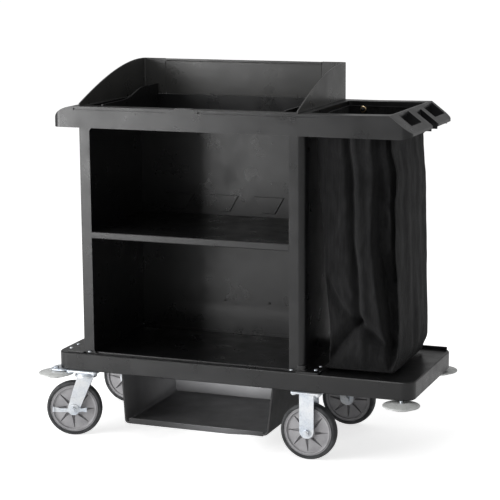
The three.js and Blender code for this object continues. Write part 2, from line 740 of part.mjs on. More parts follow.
const BIN_FRONT = -228;
const BIN_BACK = 205;
const BIN_TOP = DECK_BOTTOM - GAP;
const BIN_FLOOR = 58;
const BIN_LEFT_TOP = -376;
const BIN_LEFT_LOW = -366;
const BIN_RIGHT_LOW = 158;
const BIN_RIGHT_TOP = 178;
const BIN_CORNER = 16; // radius of the lower edges
const BIN_RISE = 7; // how far the floor climbs towards its right end
const BIN_RISE_START = 20; // where it begins to climb

/** Bin section in (x, z), grown outwards or inwards by an offset. */
function binOutline(inset, top) {
  const radius = BIN_CORNER - inset;
  const leftTop = BIN_LEFT_TOP + inset;
  const leftLow = BIN_LEFT_LOW + inset;
  const rightLow = BIN_RIGHT_LOW - inset;
  const rightTop = BIN_RIGHT_TOP - inset;
  const floor = BIN_FLOOR + inset;
  const outline = new THREE.Shape();
  outline.moveTo(leftTop, top);
  outline.lineTo(leftLow, floor + radius);
  outline.quadraticCurveTo(leftLow, floor, leftLow + radius, floor);
  outline.lineTo(BIN_RISE_START, floor);
  outline.lineTo(rightLow - radius, floor + BIN_RISE);
  outline.quadraticCurveTo(rightLow, floor + BIN_RISE, rightLow + 2, floor + BIN_RISE + radius);
  outline.lineTo(rightTop, top);
  outline.closePath();
  return outline;
}

function underdeckBin() {
  const wall = 6;
  const shell = prismY(binOutline(0, BIN_TOP), BIN_FRONT, BIN_BACK, 4);
  const inside = prismY(binOutline(wall, BIN_TOP + 1), BIN_FRONT - 1, BIN_BACK - wall, 4);
  const flangeWidth = 16;
  const overlap = 2; // of a flange or the lip with the wall it grows from
  const flangeSpans = [
    [BIN_LEFT_TOP - flangeWidth, BIN_LEFT_TOP + overlap],
    [BIN_RIGHT_TOP - overlap, BIN_RIGHT_TOP + flangeWidth],
  ];
  const flanges = flangeSpans.map(([x0, x1]) => (
    block(x0, x1, BIN_FRONT + 30, BIN_BACK, BIN_TOP - 4, BIN_TOP)));
  const frontLip = block(BIN_LEFT_LOW + BIN_CORNER, BIN_RIGHT_LOW - BIN_CORNER - overlap,
    BIN_FRONT, BIN_FRONT + 8, BIN_FLOOR + 4, BIN_FLOOR + 19);
  return join(cut(shell, inside), frontLip, ...flanges);
}

addPiece('underdeck_bin', underdeckBin(), cartPlastic);

// ---------------------------------------------------------------- bumpers

const BUMPER_LOW = 205;
const BUMPER_BOLT_RADIUS = 5;
const BRACKET_THICKNESS = 5;
const BRACKET_BOTTOM = DECK_BOTTOM - GAP - BRACKET_THICKNESS;

/** Domed roller disc, turned about its bolt. */
function bumperDisc() {
  const bore = BUMPER_BOLT_RADIUS + GAP;
  return turned([
    [bore, BUMPER_LOW],
    [BUMPER_RADIUS - 5, BUMPER_LOW],
    [BUMPER_RADIUS, BUMPER_LOW + 6],
    [BUMPER_RADIUS - 2, BUMPER_LOW + 14],
    [BUMPER_RADIUS - 20, BUMPER_LOW + 20],
    [20, BUMPER_LOW + 22],
    [bore, BUMPER_LOW + 22],
  ], 32);
}

/** Bolt with a flat round head below and a shoulder that meets what it screws into. */
function bumperBolt(topZ) {
  return turned([
    [0, BUMPER_LOW - 6],
    [10, BUMPER_LOW - 6],
    [12, BUMPER_LOW - 3],
    [12, BUMPER_LOW - GAP],
    [BUMPER_BOLT_RADIUS, BUMPER_LOW - GAP],
    [BUMPER_BOLT_RADIUS, topZ],
    [0, topZ],
  ], 20);
}

/** Steel strap that carries a left bumper just outside the deck's end. */
function bumperBracket(side) {
  const y0 = side > 0 ? BUMPER_Y - 50 : -BUMPER_Y - 18;
  const plate = prismZ(roundRect(-BUMPER_X - 18, SWIVEL_X - 58, y0, y0 + 68, 16),
    BRACKET_BOTTOM, BRACKET_BOTTOM + BRACKET_THICKNESS, 4);
  const stud = post(-BUMPER_X, side * BUMPER_Y, 9, BRACKET_BOTTOM, BRACKET_BOTTOM + 12, 6);
  return join(plate, stud);
}

const sides = [['front', -1], ['back', 1]];
for (const [sideName, side] of sides) {
  for (const [endName, end] of [['left', -1], ['right', 1]]) {
    const spot = new THREE.Group();
    spot.position.set(end * BUMPER_X, side * BUMPER_Y, 0);
    cart.add(spot);
    const boltTop = end < 0 ? BRACKET_BOTTOM - GAP : DECK_BOTTOM - GAP;
    addPiece(`bumper_${sideName}_${endName}`, bumperDisc(), bumperPlastic, spot);
    addPiece(`bumper_bolt_${sideName}_${endName}`, bumperBolt(boltTop), zincSteel, spot);
  }
  addPiece(`bumper_bracket_${sideName}`, bumperBracket(side), zincSteel);
}

// ---------------------------------------------------------------- wheels and casters

const AXLE_RADIUS = 6;
const BUSH_RADIUS = 10;
const FORK_INNER = 24.5; // half the clear width between the legs
const LEG = 4;
const FORK_OUTER = FORK_INNER + LEG;
const CASTER_TOP = DECK_BOTTOM - GAP;
const PLATE_THICKNESS = 6;
const PLATE_HALF_DEPTH = 43;
const TYRE_INNER = 82;

/** Turns a solid made about Z so that its axis lies along Y at the axle height. */
function onAxle(body) {
  return body.rotate([90, 0, 0]).translate([0, 0, WHEEL_RADIUS]);
}

function tyre() {
  const half = TREAD_WIDTH / 2;
  return onAxle(turned([
    [TYRE_INNER, -half],
    [WHEEL_RADIUS - 6, -half],
    [WHEEL_RADIUS, -half + 8],
    [WHEEL_RADIUS, half - 8],
    [WHEEL_RADIUS - 6, half],
    [TYRE_INNER, half],
  ], 32));
}

/** Tapered groove in the wheel's outer face, wide at the hub and pointed at the rim. */
function spokeGroove(angle, faceZ) {
  const outline = polygon([[25, -7], [71, -1], [71, 1], [25, 2]]);
  const depth = 11;
  return prismZ(outline, faceZ - depth, faceZ + depth, 1).rotate([0, 0, angle]);
}

/** Plastic wheel centre: rim, dished faces, a hub barrel, and spoke grooves on the cart's outer side. */
function wheelCore(side) {
  const half = TREAD_WIDTH / 2;
  const rim = TYRE_INNER - GAP;
  const barrel = FORK_INNER - 1.5;
  const bore = BUSH_RADIUS + GAP;
  const body = turned([
    [bore, -barrel],
    [20, -barrel],
    [20, -half + 3],
    [73, -half + 7],
    [76, -half + 1],
    [rim, -half + 1],
    [rim, half - 1],
    [20, half - 3],
    [20, barrel],
    [bore, barrel],
  ], 32);
  const spokes = 8;
  const grooves = [];
  for (let i = 0; i < spokes; i += 1) {
    grooves.push(spokeGroove(i * 360 / spokes, -side * half));
  }
  return onAxle(cut(body, ...grooves));
}

/** Steel bush pressed into the wheel centre. */
function wheelBush() {
  const inner = AXLE_RADIUS + GAP;
  const half = FORK_INNER - 1;
  return onAxle(turned([
    [inner, -half], [BUSH_RADIUS, -half], [BUSH_RADIUS, half], [inner, half],
  ], 20));
}

/** Axle bolt with a hexagon head on the inner side; the nut goes on the outer side. */
function axleBolt(nutEnd) {
  const shank = rod(0, WHEEL_RADIUS, AXLE_RADIUS, nutEnd, FORK_OUTER + 4);
  const head = rod(0, WHEEL_RADIUS, 11, FORK_OUTER + GAP, FORK_OUTER + 8, 6);
  return join(shank, head);
}

function axleNut(seatY) {
  const thickness = 10;
  const body = rod(0, WHEEL_RADIUS, 11, seatY - thickness, seatY - GAP, 6);
  return cut(body, rod(0, WHEEL_RADIUS, AXLE_RADIUS + GAP, seatY - thickness - 1, seatY));
}

const CROWN_TOP = 214;
const CROWN_BOTTOM = 208;
const CROWN_BACK = -26; // the legs' top edges, either side of the kingpin
const CROWN_FRONT = 30;

/** Leg outline in (x, z) of a raked fork, from the crown down to a round end at the axle. */
function rakedLeg() {
  const bossRadius = 21;
  const outline = new THREE.Shape();
  outline.moveTo(-TRAIL - bossRadius, WHEEL_RADIUS);
  outline.absarc(-TRAIL, WHEEL_RADIUS, bossRadius, Math.PI, 2 * Math.PI, false);
  outline.lineTo(2, 150);
  outline.lineTo(CROWN_FRONT, CROWN_TOP);
  outline.lineTo(CROWN_BACK, CROWN_TOP);
  outline.lineTo(-44, 162);
  outline.closePath();
  return outline;
}

/** Straight leg outline in (x, z) of a rigid fork. */
function straightLeg() {
  const half = 25;
  const outline = new THREE.Shape();
  outline.moveTo(-half, WHEEL_RADIUS + 4);
  outline.absarc(0, WHEEL_RADIUS + 4, half, Math.PI, 2 * Math.PI, false);
  outline.lineTo(half, CASTER_TOP);
  outline.lineTo(-half, CASTER_TOP);
  outline.closePath();
  return outline;
}

/** Bore for the axle through both legs. */
function axleBore(x) {
  return rod(x, WHEEL_RADIUS, AXLE_RADIUS + GAP, -FORK_OUTER - 5, FORK_OUTER + 5);
}

function mountingPlate(halfLength) {
  return prismZ(roundRect(-halfLength, halfLength, -PLATE_HALF_DEPTH, PLATE_HALF_DEPTH, 9),
    CASTER_TOP - PLATE_THICKNESS, CASTER_TOP, 4);
}

const RACE_TOP = CASTER_TOP - PLATE_THICKNESS - GAP;
const KINGPIN_RADIUS = 7;
const CROWN_RADIUS = 38;

/** Swivel fork: round crown with two raked legs. */
function swivelFork() {
  const crown = join(
    post(0, 0, CROWN_RADIUS, CROWN_BOTTOM, CROWN_TOP, 28),
    block(CROWN_BACK, CROWN_FRONT, -FORK_OUTER, FORK_OUTER, CROWN_BOTTOM, CROWN_TOP),
  );
  const legs = [
    prismY(rakedLeg(), -FORK_OUTER, -FORK_INNER, 8),
    prismY(rakedLeg(), FORK_INNER, FORK_OUTER, 8),
  ];
  const kingpinBore = post(0, 0, KINGPIN_RADIUS + GAP, CROWN_BOTTOM - 1, CROWN_TOP + 1);
  return cut(join(crown, ...legs), axleBore(-TRAIL), kingpinBore);
}

/** Ball race between the fork crown and the plate. */
function swivelRace() {
  const z0 = CROWN_TOP + GAP;
  const middle = (z0 + RACE_TOP) / 2;
  return turned([
    [KINGPIN_RADIUS + GAP, z0],
    [38, z0],
    [34, middle],
    [38, RACE_TOP],
    [KINGPIN_RADIUS + GAP, RACE_TOP],
  ], 28);
}

/** Kingpin with a domed head under the crown. */
function kingpin() {
  const head = CROWN_BOTTOM - GAP;
  return turned([
    [0, head - 7],
    [9, head - 6],
    [13, head - 2],
    [13, head],
    [KINGPIN_RADIUS, head],
    [KINGPIN_RADIUS, RACE_TOP],
    [0, RACE_TOP],
  ], 20);
}

/** Brake lever in (x, z) about its own pivot: a round hub with two flared foot pads. */
function brakeLever() {
  const hub = 19;
  const armTop = 4;
  const armBottom = -9;
  const longBend = -44; // where the long arm turns up
  const longEnd = -72;
  const shortBend = 30;
  const shortEnd = 48;
  const outline = new THREE.Shape();
  outline.moveTo(-hub, armTop);
  outline.lineTo(longBend, armTop);
  outline.lineTo(longEnd, armTop + 6);
  outline.lineTo(longEnd + 2, armBottom + 1);
  outline.lineTo(longBend, armBottom);
  outline.lineTo(2 - hub, armBottom);
  outline.absarc(0, 0, hub, Math.PI * 1.15, Math.PI * 1.85, false);
  outline.lineTo(shortBend, armBottom + 2);
  outline.lineTo(shortEnd - 2, armBottom);
  outline.lineTo(shortEnd, armTop + 4);
  outline.lineTo(shortBend, armTop);
  outline.lineTo(hub - 1, armTop + 2);
  outline.absarc(0, 0, hub, Math.PI * 0.1, Math.PI * 0.93, false);
  outline.closePath();
  const y1 = -FORK_OUTER - GAP;
  const plate = prismY(outline, y1 - 4, y1, 5).translate([0, 0, WHEEL_RADIUS]);
  const treadBottom = WHEEL_RADIUS - 7;
  const treads = [
    block(longEnd + 1, longEnd + 6, y1 - 9, y1 - 3, treadBottom, WHEEL_RADIUS + 8),
    block(shortEnd - 5, shortEnd - 1, y1 - 9, y1 - 3, treadBottom, WHEEL_RADIUS + 6),
  ];
  const bore = rod(0, WHEEL_RADIUS, AXLE_RADIUS + GAP, y1 - 12, y1 + 5);
  return cut(join(plate, ...treads), bore);
}

/** Rigid fork: mounting plate and two straight legs in one. */
function rigidFork() {
  const legs = [
    prismY(straightLeg(), -FORK_OUTER, -FORK_INNER, 8),
    prismY(straightLeg(), FORK_INNER, FORK_OUTER, 8),
  ];
  return cut(join(mountingPlate(53), ...legs), axleBore(0));
}

/** Tyre, wheel centre and bush on one axle, in the given group. */
function addWheel(label, side, group) {
  addPiece(`tyre_${label}`, tyre(), tyreRubber, group);
  addPiece(`wheel_core_${label}`, wheelCore(side), hubPlastic, group);
  addPiece(`wheel_bush_${label}`, wheelBush(), zincSteel, group);
}

function addSwivelCaster(label, side, turnDegrees) {
  const stem = new THREE.Group();
  stem.position.set(SWIVEL_X, side * CASTER_Y, 0);
  cart.add(stem);
  const swivel = new THREE.Group();
  swivel.rotation.z = THREE.MathUtils.degToRad(turnDegrees);
  stem.add(swivel);
  addPiece(`caster_plate_${label}`, mountingPlate(57), zincSteel, stem);
  addPiece(`swivel_race_${label}`, swivelRace(), zincSteel, stem);
  addPiece(`kingpin_${label}`, kingpin(), zincSteel, stem);
  addPiece(`fork_${label}`, swivelFork(), zincSteel, swivel);
  const axle = new THREE.Group();
  axle.position.set(-TRAIL, 0, 0);
  swivel.add(axle);
  addWheel(label, side, axle);
  addAxleSet(label, axle, side, true);
}

/** Axle bolt, nut and (on swivel casters) brake lever, with the nut on the cart's outer side. */
function addAxleSet(label, axle, side, withBrake) {
  const mirror = (body) => (side > 0 ? body.mirror([0, 1, 0]) : body);
  const leverThickness = withBrake ? 4 + 2 * GAP : 0;
  const seat = -FORK_OUTER - leverThickness;
  addPiece(`axle_${label}`, mirror(axleBolt(seat - 12)), zincSteel, axle);
  addPiece(`axle_nut_${label}`, mirror(axleNut(seat)), zincSteel, axle);
  if (withBrake) {
    addPiece(`brake_lever_${label}`, mirror(brakeLever()), zincSteel, axle);
  }
}

function addRigidCaster(label, side) {
  const stem = new THREE.Group();
  stem.position.set(RIGID_X, side * CASTER_Y, 0);
  cart.add(stem);
  addPiece(`fork_${label}`, rigidFork(), zincSteel, stem);
  addWheel(label, side, stem);
  addAxleSet(label, stem, side, false);
}

for (const [sideName, side] of sides) {
  addSwivelCaster(`${sideName}_left`, side, side < 0 ? FRONT_SWIVEL_DEG : 0);
  addRigidCaster(`${sideName}_right`, side);
}

export default cart;
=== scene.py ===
import json
import math

import bmesh
import bpy
import numpy as np
from mathutils import Matrix, Vector, noise


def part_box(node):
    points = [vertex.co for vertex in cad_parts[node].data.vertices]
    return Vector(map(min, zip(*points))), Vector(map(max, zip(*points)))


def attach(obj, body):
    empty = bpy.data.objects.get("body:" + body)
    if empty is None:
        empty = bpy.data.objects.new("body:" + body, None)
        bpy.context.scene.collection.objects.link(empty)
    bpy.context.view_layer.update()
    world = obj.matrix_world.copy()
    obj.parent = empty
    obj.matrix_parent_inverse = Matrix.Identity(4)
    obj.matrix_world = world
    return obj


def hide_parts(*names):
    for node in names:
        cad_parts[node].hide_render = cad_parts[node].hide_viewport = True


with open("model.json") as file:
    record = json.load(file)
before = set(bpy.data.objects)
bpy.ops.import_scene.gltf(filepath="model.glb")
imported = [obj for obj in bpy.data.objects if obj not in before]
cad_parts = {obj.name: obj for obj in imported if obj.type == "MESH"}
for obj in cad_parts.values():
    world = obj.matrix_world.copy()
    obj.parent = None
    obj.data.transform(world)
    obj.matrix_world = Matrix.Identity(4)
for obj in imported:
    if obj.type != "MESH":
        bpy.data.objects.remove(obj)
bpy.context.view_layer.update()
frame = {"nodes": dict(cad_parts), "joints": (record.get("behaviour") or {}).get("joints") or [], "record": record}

# ---------------------------------------------------------------- camera

CAMERA_AZIMUTH = math.radians(21.165)
CAMERA_ELEVATION = math.radians(10.614)
CAMERA_ROLL = math.radians(-0.345)
CAMERA_DISTANCE = 5.796
CAMERA_TARGET = Vector((0.0098, 0.0, 0.6443))
CAMERA_LENS = 122.4


def make_camera():
    """Camera that looks at the target from the front right, a little above."""
    back = Vector((
        math.sin(CAMERA_AZIMUTH) * math.cos(CAMERA_ELEVATION),
        -math.cos(CAMERA_AZIMUTH) * math.cos(CAMERA_ELEVATION),
        math.sin(CAMERA_ELEVATION),
    ))
    level = Vector((math.cos(CAMERA_AZIMUTH), math.sin(CAMERA_AZIMUTH), 0))
    upright = back.cross(level)
    right = level * math.cos(CAMERA_ROLL) + upright * math.sin(CAMERA_ROLL)
    up = upright * math.cos(CAMERA_ROLL) - level * math.sin(CAMERA_ROLL)
    data = bpy.data.cameras.new("camera")
    data.lens = CAMERA_LENS
    data.sensor_width = 36
    data.clip_end = 100
    camera = bpy.data.objects.new("camera", data)
    turn = Matrix((right, up, back)).transposed().to_4x4()
    camera.matrix_world = Matrix.Translation(CAMERA_TARGET + back * CAMERA_DISTANCE) @ turn
    bpy.context.scene.collection.objects.link(camera)
    bpy.context.scene.camera = camera


make_camera()

# ---------------------------------------------------------------- shader helpers


class Shader:
    """A node material with short ways to add and wire nodes."""

    def __init__(self, name, roughness=0.5, metallic=0.0, **fixed):
        self.material = bpy.data.materials.new(name)
        self.material.use_nodes = True
        self.tree = self.material.node_tree
        self.surface = self.tree.nodes["Principled BSDF"]
        self.surface.inputs["Roughness"].default_value = roughness
        self.surface.inputs["Metallic"].default_value = metallic
        for socket, value in fixed.items():
            self.surface.inputs[socket.replace("_", " ")].default_value = value

    def add(self, kind, **settings):
        node = self.tree.nodes.new(kind)
        for key, value in settings.items():
            setattr(node, key, value)
        return node

    def join(self, source, target):
        self.tree.links.new(source, target)

    def position(self, stretch=(1, 1, 1)):
        """Object coordinates, in metres, stretched along each axis."""
        place = self.add("ShaderNodeTexCoord")
        mapping = self.add("ShaderNodeMapping")
        mapping.inputs["Scale"].default_value = stretch
        self.join(place.outputs["Object"], mapping.inputs["Vector"])
        return mapping.outputs["Vector"]

    def noise(self, scale, detail=2.0, stretch=(1, 1, 1), roughness=0.5):
        node = self.add("ShaderNodeTexNoise")
        node.inputs["Scale"].default_value = scale
        node.inputs["Detail"].default_value = detail
        node.inputs["Roughness"].default_value = roughness
        self.join(self.position(stretch), node.inputs["Vector"])
        return node.outputs["Fac"]

    def spread(self, value, low, high, to_low=0.0, to_high=1.0):
        """Maps a value from one range to another, held at its ends."""
        node = self.add("ShaderNodeMapRange")
        node.inputs["From Min"].default_value = low
        node.inputs["From Max"].default_value = high
        node.inputs["To Min"].default_value = to_low
        node.inputs["To Max"].default_value = to_high
        self.join(value, node.inputs["Value"])
        return node.outputs["Result"]

    def math(self, operation, first, second):
        node = self.add("ShaderNodeMath", operation=operation)
        for socket, value in zip(node.inputs, (first, second)):
            if isinstance(value, (int, float)):
                socket.default_value = value
            else:
                self.join(value, socket)
        return node.outputs["Value"]

    def mix(self, factor, first, second):
        """Blends two colours, each a tuple or a socket."""
        node = self.add("ShaderNodeMix", data_type="RGBA")
        self.join(factor, node.inputs["Factor"])
        for name, value in (("A", first), ("B", second)):
            socket = [s for s in node.inputs if s.name == name and s.type == "RGBA"][0]
            if isinstance(value, tuple):
                socket.default_value = (*value, 1)
            else:
                self.join(value, socket)
        return [s for s in node.outputs if s.type == "RGBA"][0]

    def bump(self, height, distance, strength=1.0, after=None):
        node = self.add("ShaderNodeBump")
        node.inputs["Distance"].default_value = distance
        node.inputs["Strength"].default_value = strength
        self.join(height, node.inputs["Height"])
        if after is not None:
            self.join(after, node.inputs["Normal"])
        return node.outputs["Normal"]

    def edges(self, radius):
        """Near 1 on the object's outer edges and 0 on its open faces."""
        soft = self.add("ShaderNodeBevel", samples=4)
        soft.inputs["Radius"].default_value = radius
        true = self.add("ShaderNodeNewGeometry")
        node = self.add("ShaderNodeVectorMath", operation="DOT_PRODUCT")
        self.join(soft.outputs["Normal"], node.inputs[0])
        self.join(true.outputs["Normal"], node.inputs[1])
        return self.spread(node.outputs["Value"], 0.995, 0.86)

    def facing(self, middle):
        """1 on faces turned towards a point of the object, such as the inside of a bin."""
        away = self.add("ShaderNodeVectorMath", operation="SUBTRACT")
        self.join(self.position(), away.inputs[0])
        away.inputs[1].default_value = middle
        node = self.add("ShaderNodeVectorMath", operation="DOT_PRODUCT")
        self.join(away.outputs["Vector"], node.inputs[0])
        self.join(self.add("ShaderNodeNewGeometry").outputs["Normal"], node.inputs[1])
        return self.spread(node.outputs["Value"], 0.002, -0.002)

    def finish(self, color=None, roughness=None, normal=None):
        for name, value in (("Base Color", color), ("Roughness", roughness), ("Normal", normal)):
            if value is not None:
                self.join(value, self.surface.inputs[name])
        return self.material


# ---------------------------------------------------------------- materials


# Colours for the bin's inner faces, painted lighter than its outside as painted light.
BIN_INSIDE_LIGHT = ((0.07, 0.07, 0.072), (0.115, 0.115, 0.118))


def moulded_plastic(name, dark, light, wear_and_edge_highlight, gloss, painted_light_centre=None):
    """Black moulded plastic: cloudy tone, flow streaks, fine grain and edges painted slightly lighter, a painted
    highlight.

    Faces turned towards a given point are painted lighter: painted light for the inside of the bin.
    """
    s = Shader(name, Specular_IOR_Level=0.5)
    cloud = s.spread(s.noise(5.0, 4.0), 0.3, 0.7)
    streak = s.spread(s.noise(9.0, 3.0, stretch=(1.6, 1.6, 0.25)), 0.42, 0.75)
    tone = s.mix(cloud, dark, light)
    tone = s.mix(s.math("MULTIPLY", streak, 0.35), tone, light)
    # Painted highlight: the edges are lightened as if catching light; the scuffs mixed in with them are real wear.
    edge_highlight = s.math("MULTIPLY", s.edges(0.0022), s.spread(s.noise(60.0, 3.0), 0.35, 0.7))
    scuffs = s.spread(s.noise(38.0, 6.0, stretch=(0.3, 1.0, 2.2), roughness=0.7), 0.66, 0.74)
    tone = s.mix(s.math("MAXIMUM", edge_highlight, s.math("MULTIPLY", scuffs, 0.15)), tone, wear_and_edge_highlight)
    # Painted light: faces turned towards the given point, the inside of the bin, are lightened towards these
    # colours.
    if painted_light_centre:
        dust_and_painted_light = s.mix(cloud, *BIN_INSIDE_LIGHT)
        tone = s.mix(s.facing(painted_light_centre), tone, dust_and_painted_light)
    rough = s.spread(s.noise(14.0, 3.0), 0.3, 0.7, gloss - 0.06, gloss + 0.08)
    grain = s.bump(s.noise(1400.0, 2.0), 0.00012)
    waves = s.bump(s.noise(11.0, 2.0), 0.0012, 0.6, after=grain)
    return s.finish(tone, rough, waves)


def zinc_steel():
    """Zinc-plated steel: bluish and pale patches, spangle and rolling lines."""
    s = Shader("zinc_steel", metallic=0.85, Specular_IOR_Level=0.5)
    patches = s.spread(s.noise(22.0, 4.0), 0.3, 0.7)
    spangle = s.add("ShaderNodeTexVoronoi")
    spangle.inputs["Scale"].default_value = 160
    s.join(s.position(), spangle.inputs["Vector"])
    tone = s.mix(patches, (0.50, 0.55, 0.62), (0.74, 0.75, 0.76))
    tone = s.mix(s.spread(spangle.outputs["Distance"], 0.1, 0.7, 0.0, 0.35), tone, (0.84, 0.87, 0.9))
    dirt = s.spread(s.noise(70.0, 5.0), 0.62, 0.75)
    tone = s.mix(s.math("MULTIPLY", dirt, 0.5), tone, (0.3, 0.3, 0.31))
    rough = s.spread(s.noise(90.0, 3.0), 0.3, 0.7, 0.38, 0.6)
    lines = s.bump(s.noise(300.0, 3.0, stretch=(1, 1, 0.08)), 0.00008)
    return s.finish(tone, rough, lines)


def brass():
    s = Shader("brass", metallic=1.0)
    tone = s.mix(s.spread(s.noise(240.0, 3.0), 0.35, 0.7), (0.62, 0.43, 0.22), (0.85, 0.72, 0.5))
    rough = s.spread(s.noise(500.0, 2.0), 0.3, 0.7, 0.22, 0.42)
    return s.finish(tone, rough)


def tyre_rubber():
    """Dark grey rubber with a dusty bloom and fine moulding texture."""
    s = Shader("tyre_rubber", roughness=0.7, Specular_IOR_Level=0.4)
    dust_and_painted_light = s.spread(s.noise(45.0, 5.0), 0.4, 0.75)
    tone = s.mix(dust_and_painted_light, (0.028, 0.029, 0.031), (0.075, 0.077, 0.08))
    rough = s.spread(s.noise(30.0, 3.0), 0.3, 0.7, 0.55, 0.8)
    return s.finish(tone, rough, s.bump(s.noise(700.0, 3.0), 0.00018))


def hub_plastic():
    """Grey moulded wheel centre with faint flow marks and dark specks of brake dust."""
    s = Shader("hub_plastic", Specular_IOR_Level=0.5)
    flow = s.spread(s.noise(26.0, 5.0), 0.3, 0.7)
    tone = s.mix(flow, (0.25, 0.245, 0.255), (0.35, 0.345, 0.355))
    specks = s.spread(s.noise(420.0, 2.0), 0.66, 0.74)
    tone = s.mix(s.math("MULTIPLY", specks, 0.5), tone, (0.09, 0.09, 0.095))
    # Painted highlight: the edges are lightened as if catching light.
    tone = s.mix(s.math("MULTIPLY", s.edges(0.001), 0.6), tone, (0.5, 0.5, 0.52))
    rough = s.spread(s.noise(60.0, 3.0), 0.3, 0.7, 0.38, 0.55)
    return s.finish(tone, rough, s.bump(s.noise(900.0, 2.0), 0.0001))


def bumper_plastic():
    """Pale grey plastic with handling smears."""
    s = Shader("bumper_plastic", Specular_IOR_Level=0.5, Coat_Weight=0.2, Coat_Roughness=0.2)
    smear = s.spread(s.noise(32.0, 5.0), 0.35, 0.75)
    tone = s.mix(smear, (0.6, 0.61, 0.6), (0.46, 0.47, 0.46))
    marks = s.spread(s.noise(120.0, 4.0, stretch=(1, 0.3, 1)), 0.64, 0.72)
    tone = s.mix(s.math("MULTIPLY", marks, 0.45), tone, (0.2, 0.2, 0.2))
    rough = s.spread(s.noise(50.0, 2.0), 0.3, 0.7, 0.22, 0.4)
    return s.finish(tone, rough, s.bump(s.noise(800.0, 2.0), 0.00008))


def bag_cloth():
    """Coated black cloth: a plain weave of crossing threads, lint and soft creases."""
    s = Shader("bag_cloth", roughness=0.8, Sheen_Weight=0.07, Sheen_Roughness=0.4,
               Specular_IOR_Level=0.14)
    threads = []
    place = s.add("ShaderNodeUVMap", uv_map="cloth")
    for axis in ("X", "Y"):
        wave = s.add("ShaderNodeTexWave", wave_type="BANDS", bands_direction=axis)
        wave.inputs["Scale"].default_value = 360
        wave.inputs["Distortion"].default_value = 0.6
        wave.inputs["Detail"].default_value = 1
        s.join(place.outputs["UV"], wave.inputs["Vector"])
        threads.append(wave.outputs["Fac"])
    weave = s.math("MAXIMUM", *threads)
    fade = s.spread(s.noise(7.0, 4.0), 0.3, 0.72)
    tone = s.mix(fade, (0.0058, 0.0058, 0.006), (0.0115, 0.0115, 0.012))
    tone = s.mix(s.math("MULTIPLY", weave, 0.5), tone, (0.022, 0.022, 0.023))
    wales = s.spread(s.noise(230.0, 3.0, stretch=(1, 1, 0.03)), 0.35, 0.65)
    tone = s.mix(s.math("MULTIPLY", wales, 0.5), tone, (0.003, 0.003, 0.0032))
    lint = s.spread(s.noise(520.0, 3.0), 0.7, 0.78)
    tone = s.mix(s.math("MULTIPLY", lint, 0.3), tone, (0.1, 0.1, 0.1))
    rough = s.spread(s.noise(18.0, 3.0), 0.3, 0.7, 0.72, 0.92)
    creases = s.bump(s.noise(46.0, 4.0, stretch=(1, 1, 0.45)), 0.0016, 0.8)
    ribbed = s.bump(wales, 0.0004, 0.7, after=creases)
    return s.finish(tone, rough, s.bump(weave, 0.00025, 0.8, after=ribbed))


FLOOR_GLOW = 0.15


def floor_paint():
    """White studio floor, evened out to white where the camera sees it."""
    s = Shader("floor", roughness=0.9)
    s.surface.inputs["Emission Color"].default_value = (1, 1, 1, 1)
    seen = s.add("ShaderNodeLightPath").outputs["Is Camera Ray"]
    s.join(s.spread(seen, 0.0, 1.0, FLOOR_GLOW, 0.7), s.surface.inputs["Emission Strength"])
    tone = s.mix(s.spread(s.noise(0.8, 3.0), 0.3, 0.7), (0.86, 0.86, 0.86), (0.9, 0.9, 0.9))
    return s.finish(tone)


CART = moulded_plastic("cart_plastic", (0.0045, 0.0045, 0.005), (0.0085, 0.0085, 0.009),
                       (0.05, 0.05, 0.052), 0.31)
HOOD = moulded_plastic("hood_plastic", (0.034, 0.034, 0.033), (0.048, 0.048, 0.046),
                       (0.09, 0.09, 0.088), 0.31)
# The bin's inner faces are painted lighter than its outer ones, as painted light inside the bin.
BIN = moulded_plastic("bin_plastic", (0.008, 0.008, 0.0085), (0.014, 0.014, 0.0145),
                      (0.05, 0.05, 0.052), 0.5, painted_light_centre=(-0.1, -0.01, 0.15))
BOARD = moulded_plastic("board_plastic", (0.01, 0.01, 0.01), (0.018, 0.018, 0.018),
                        (0.05, 0.05, 0.05), 0.6)
ZINC = zinc_steel()
BRASS = brass()
RUBBER = tyre_rubber()
HUB = hub_plastic()
BUMPER = bumper_plastic()
CLOTH = bag_cloth()

# ---------------------------------------------------------------- mesh helpers


def body_of(node):
    """Name of the body that a CAD node belongs to."""
    groups = frame["record"]["behaviour"]["bodies"]
    return next(name for name, members in groups.items() if node in members)


def new_piece(name, mesh, material, body):
    """Links a mesh as a named piece that rides on a body."""
    piece = bpy.data.objects.new(name, mesh)
    bpy.context.scene.collection.objects.link(piece)
    mesh.materials.clear()
    mesh.materials.append(material)
    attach(piece, body)
    return piece


def smooth(mesh, angle=32):
    """Smooth shading with sharp edges kept above an angle, in degrees."""
    for polygon in mesh.polygons:
        polygon.use_smooth = True
    mesh.set_sharp_from_angle(angle=math.radians(angle))


def mesh_from(name, points, faces):
    mesh = bpy.data.meshes.new(name)
    mesh.from_pydata([tuple(p) for p in points], [], faces)
    mesh.update()
    return mesh


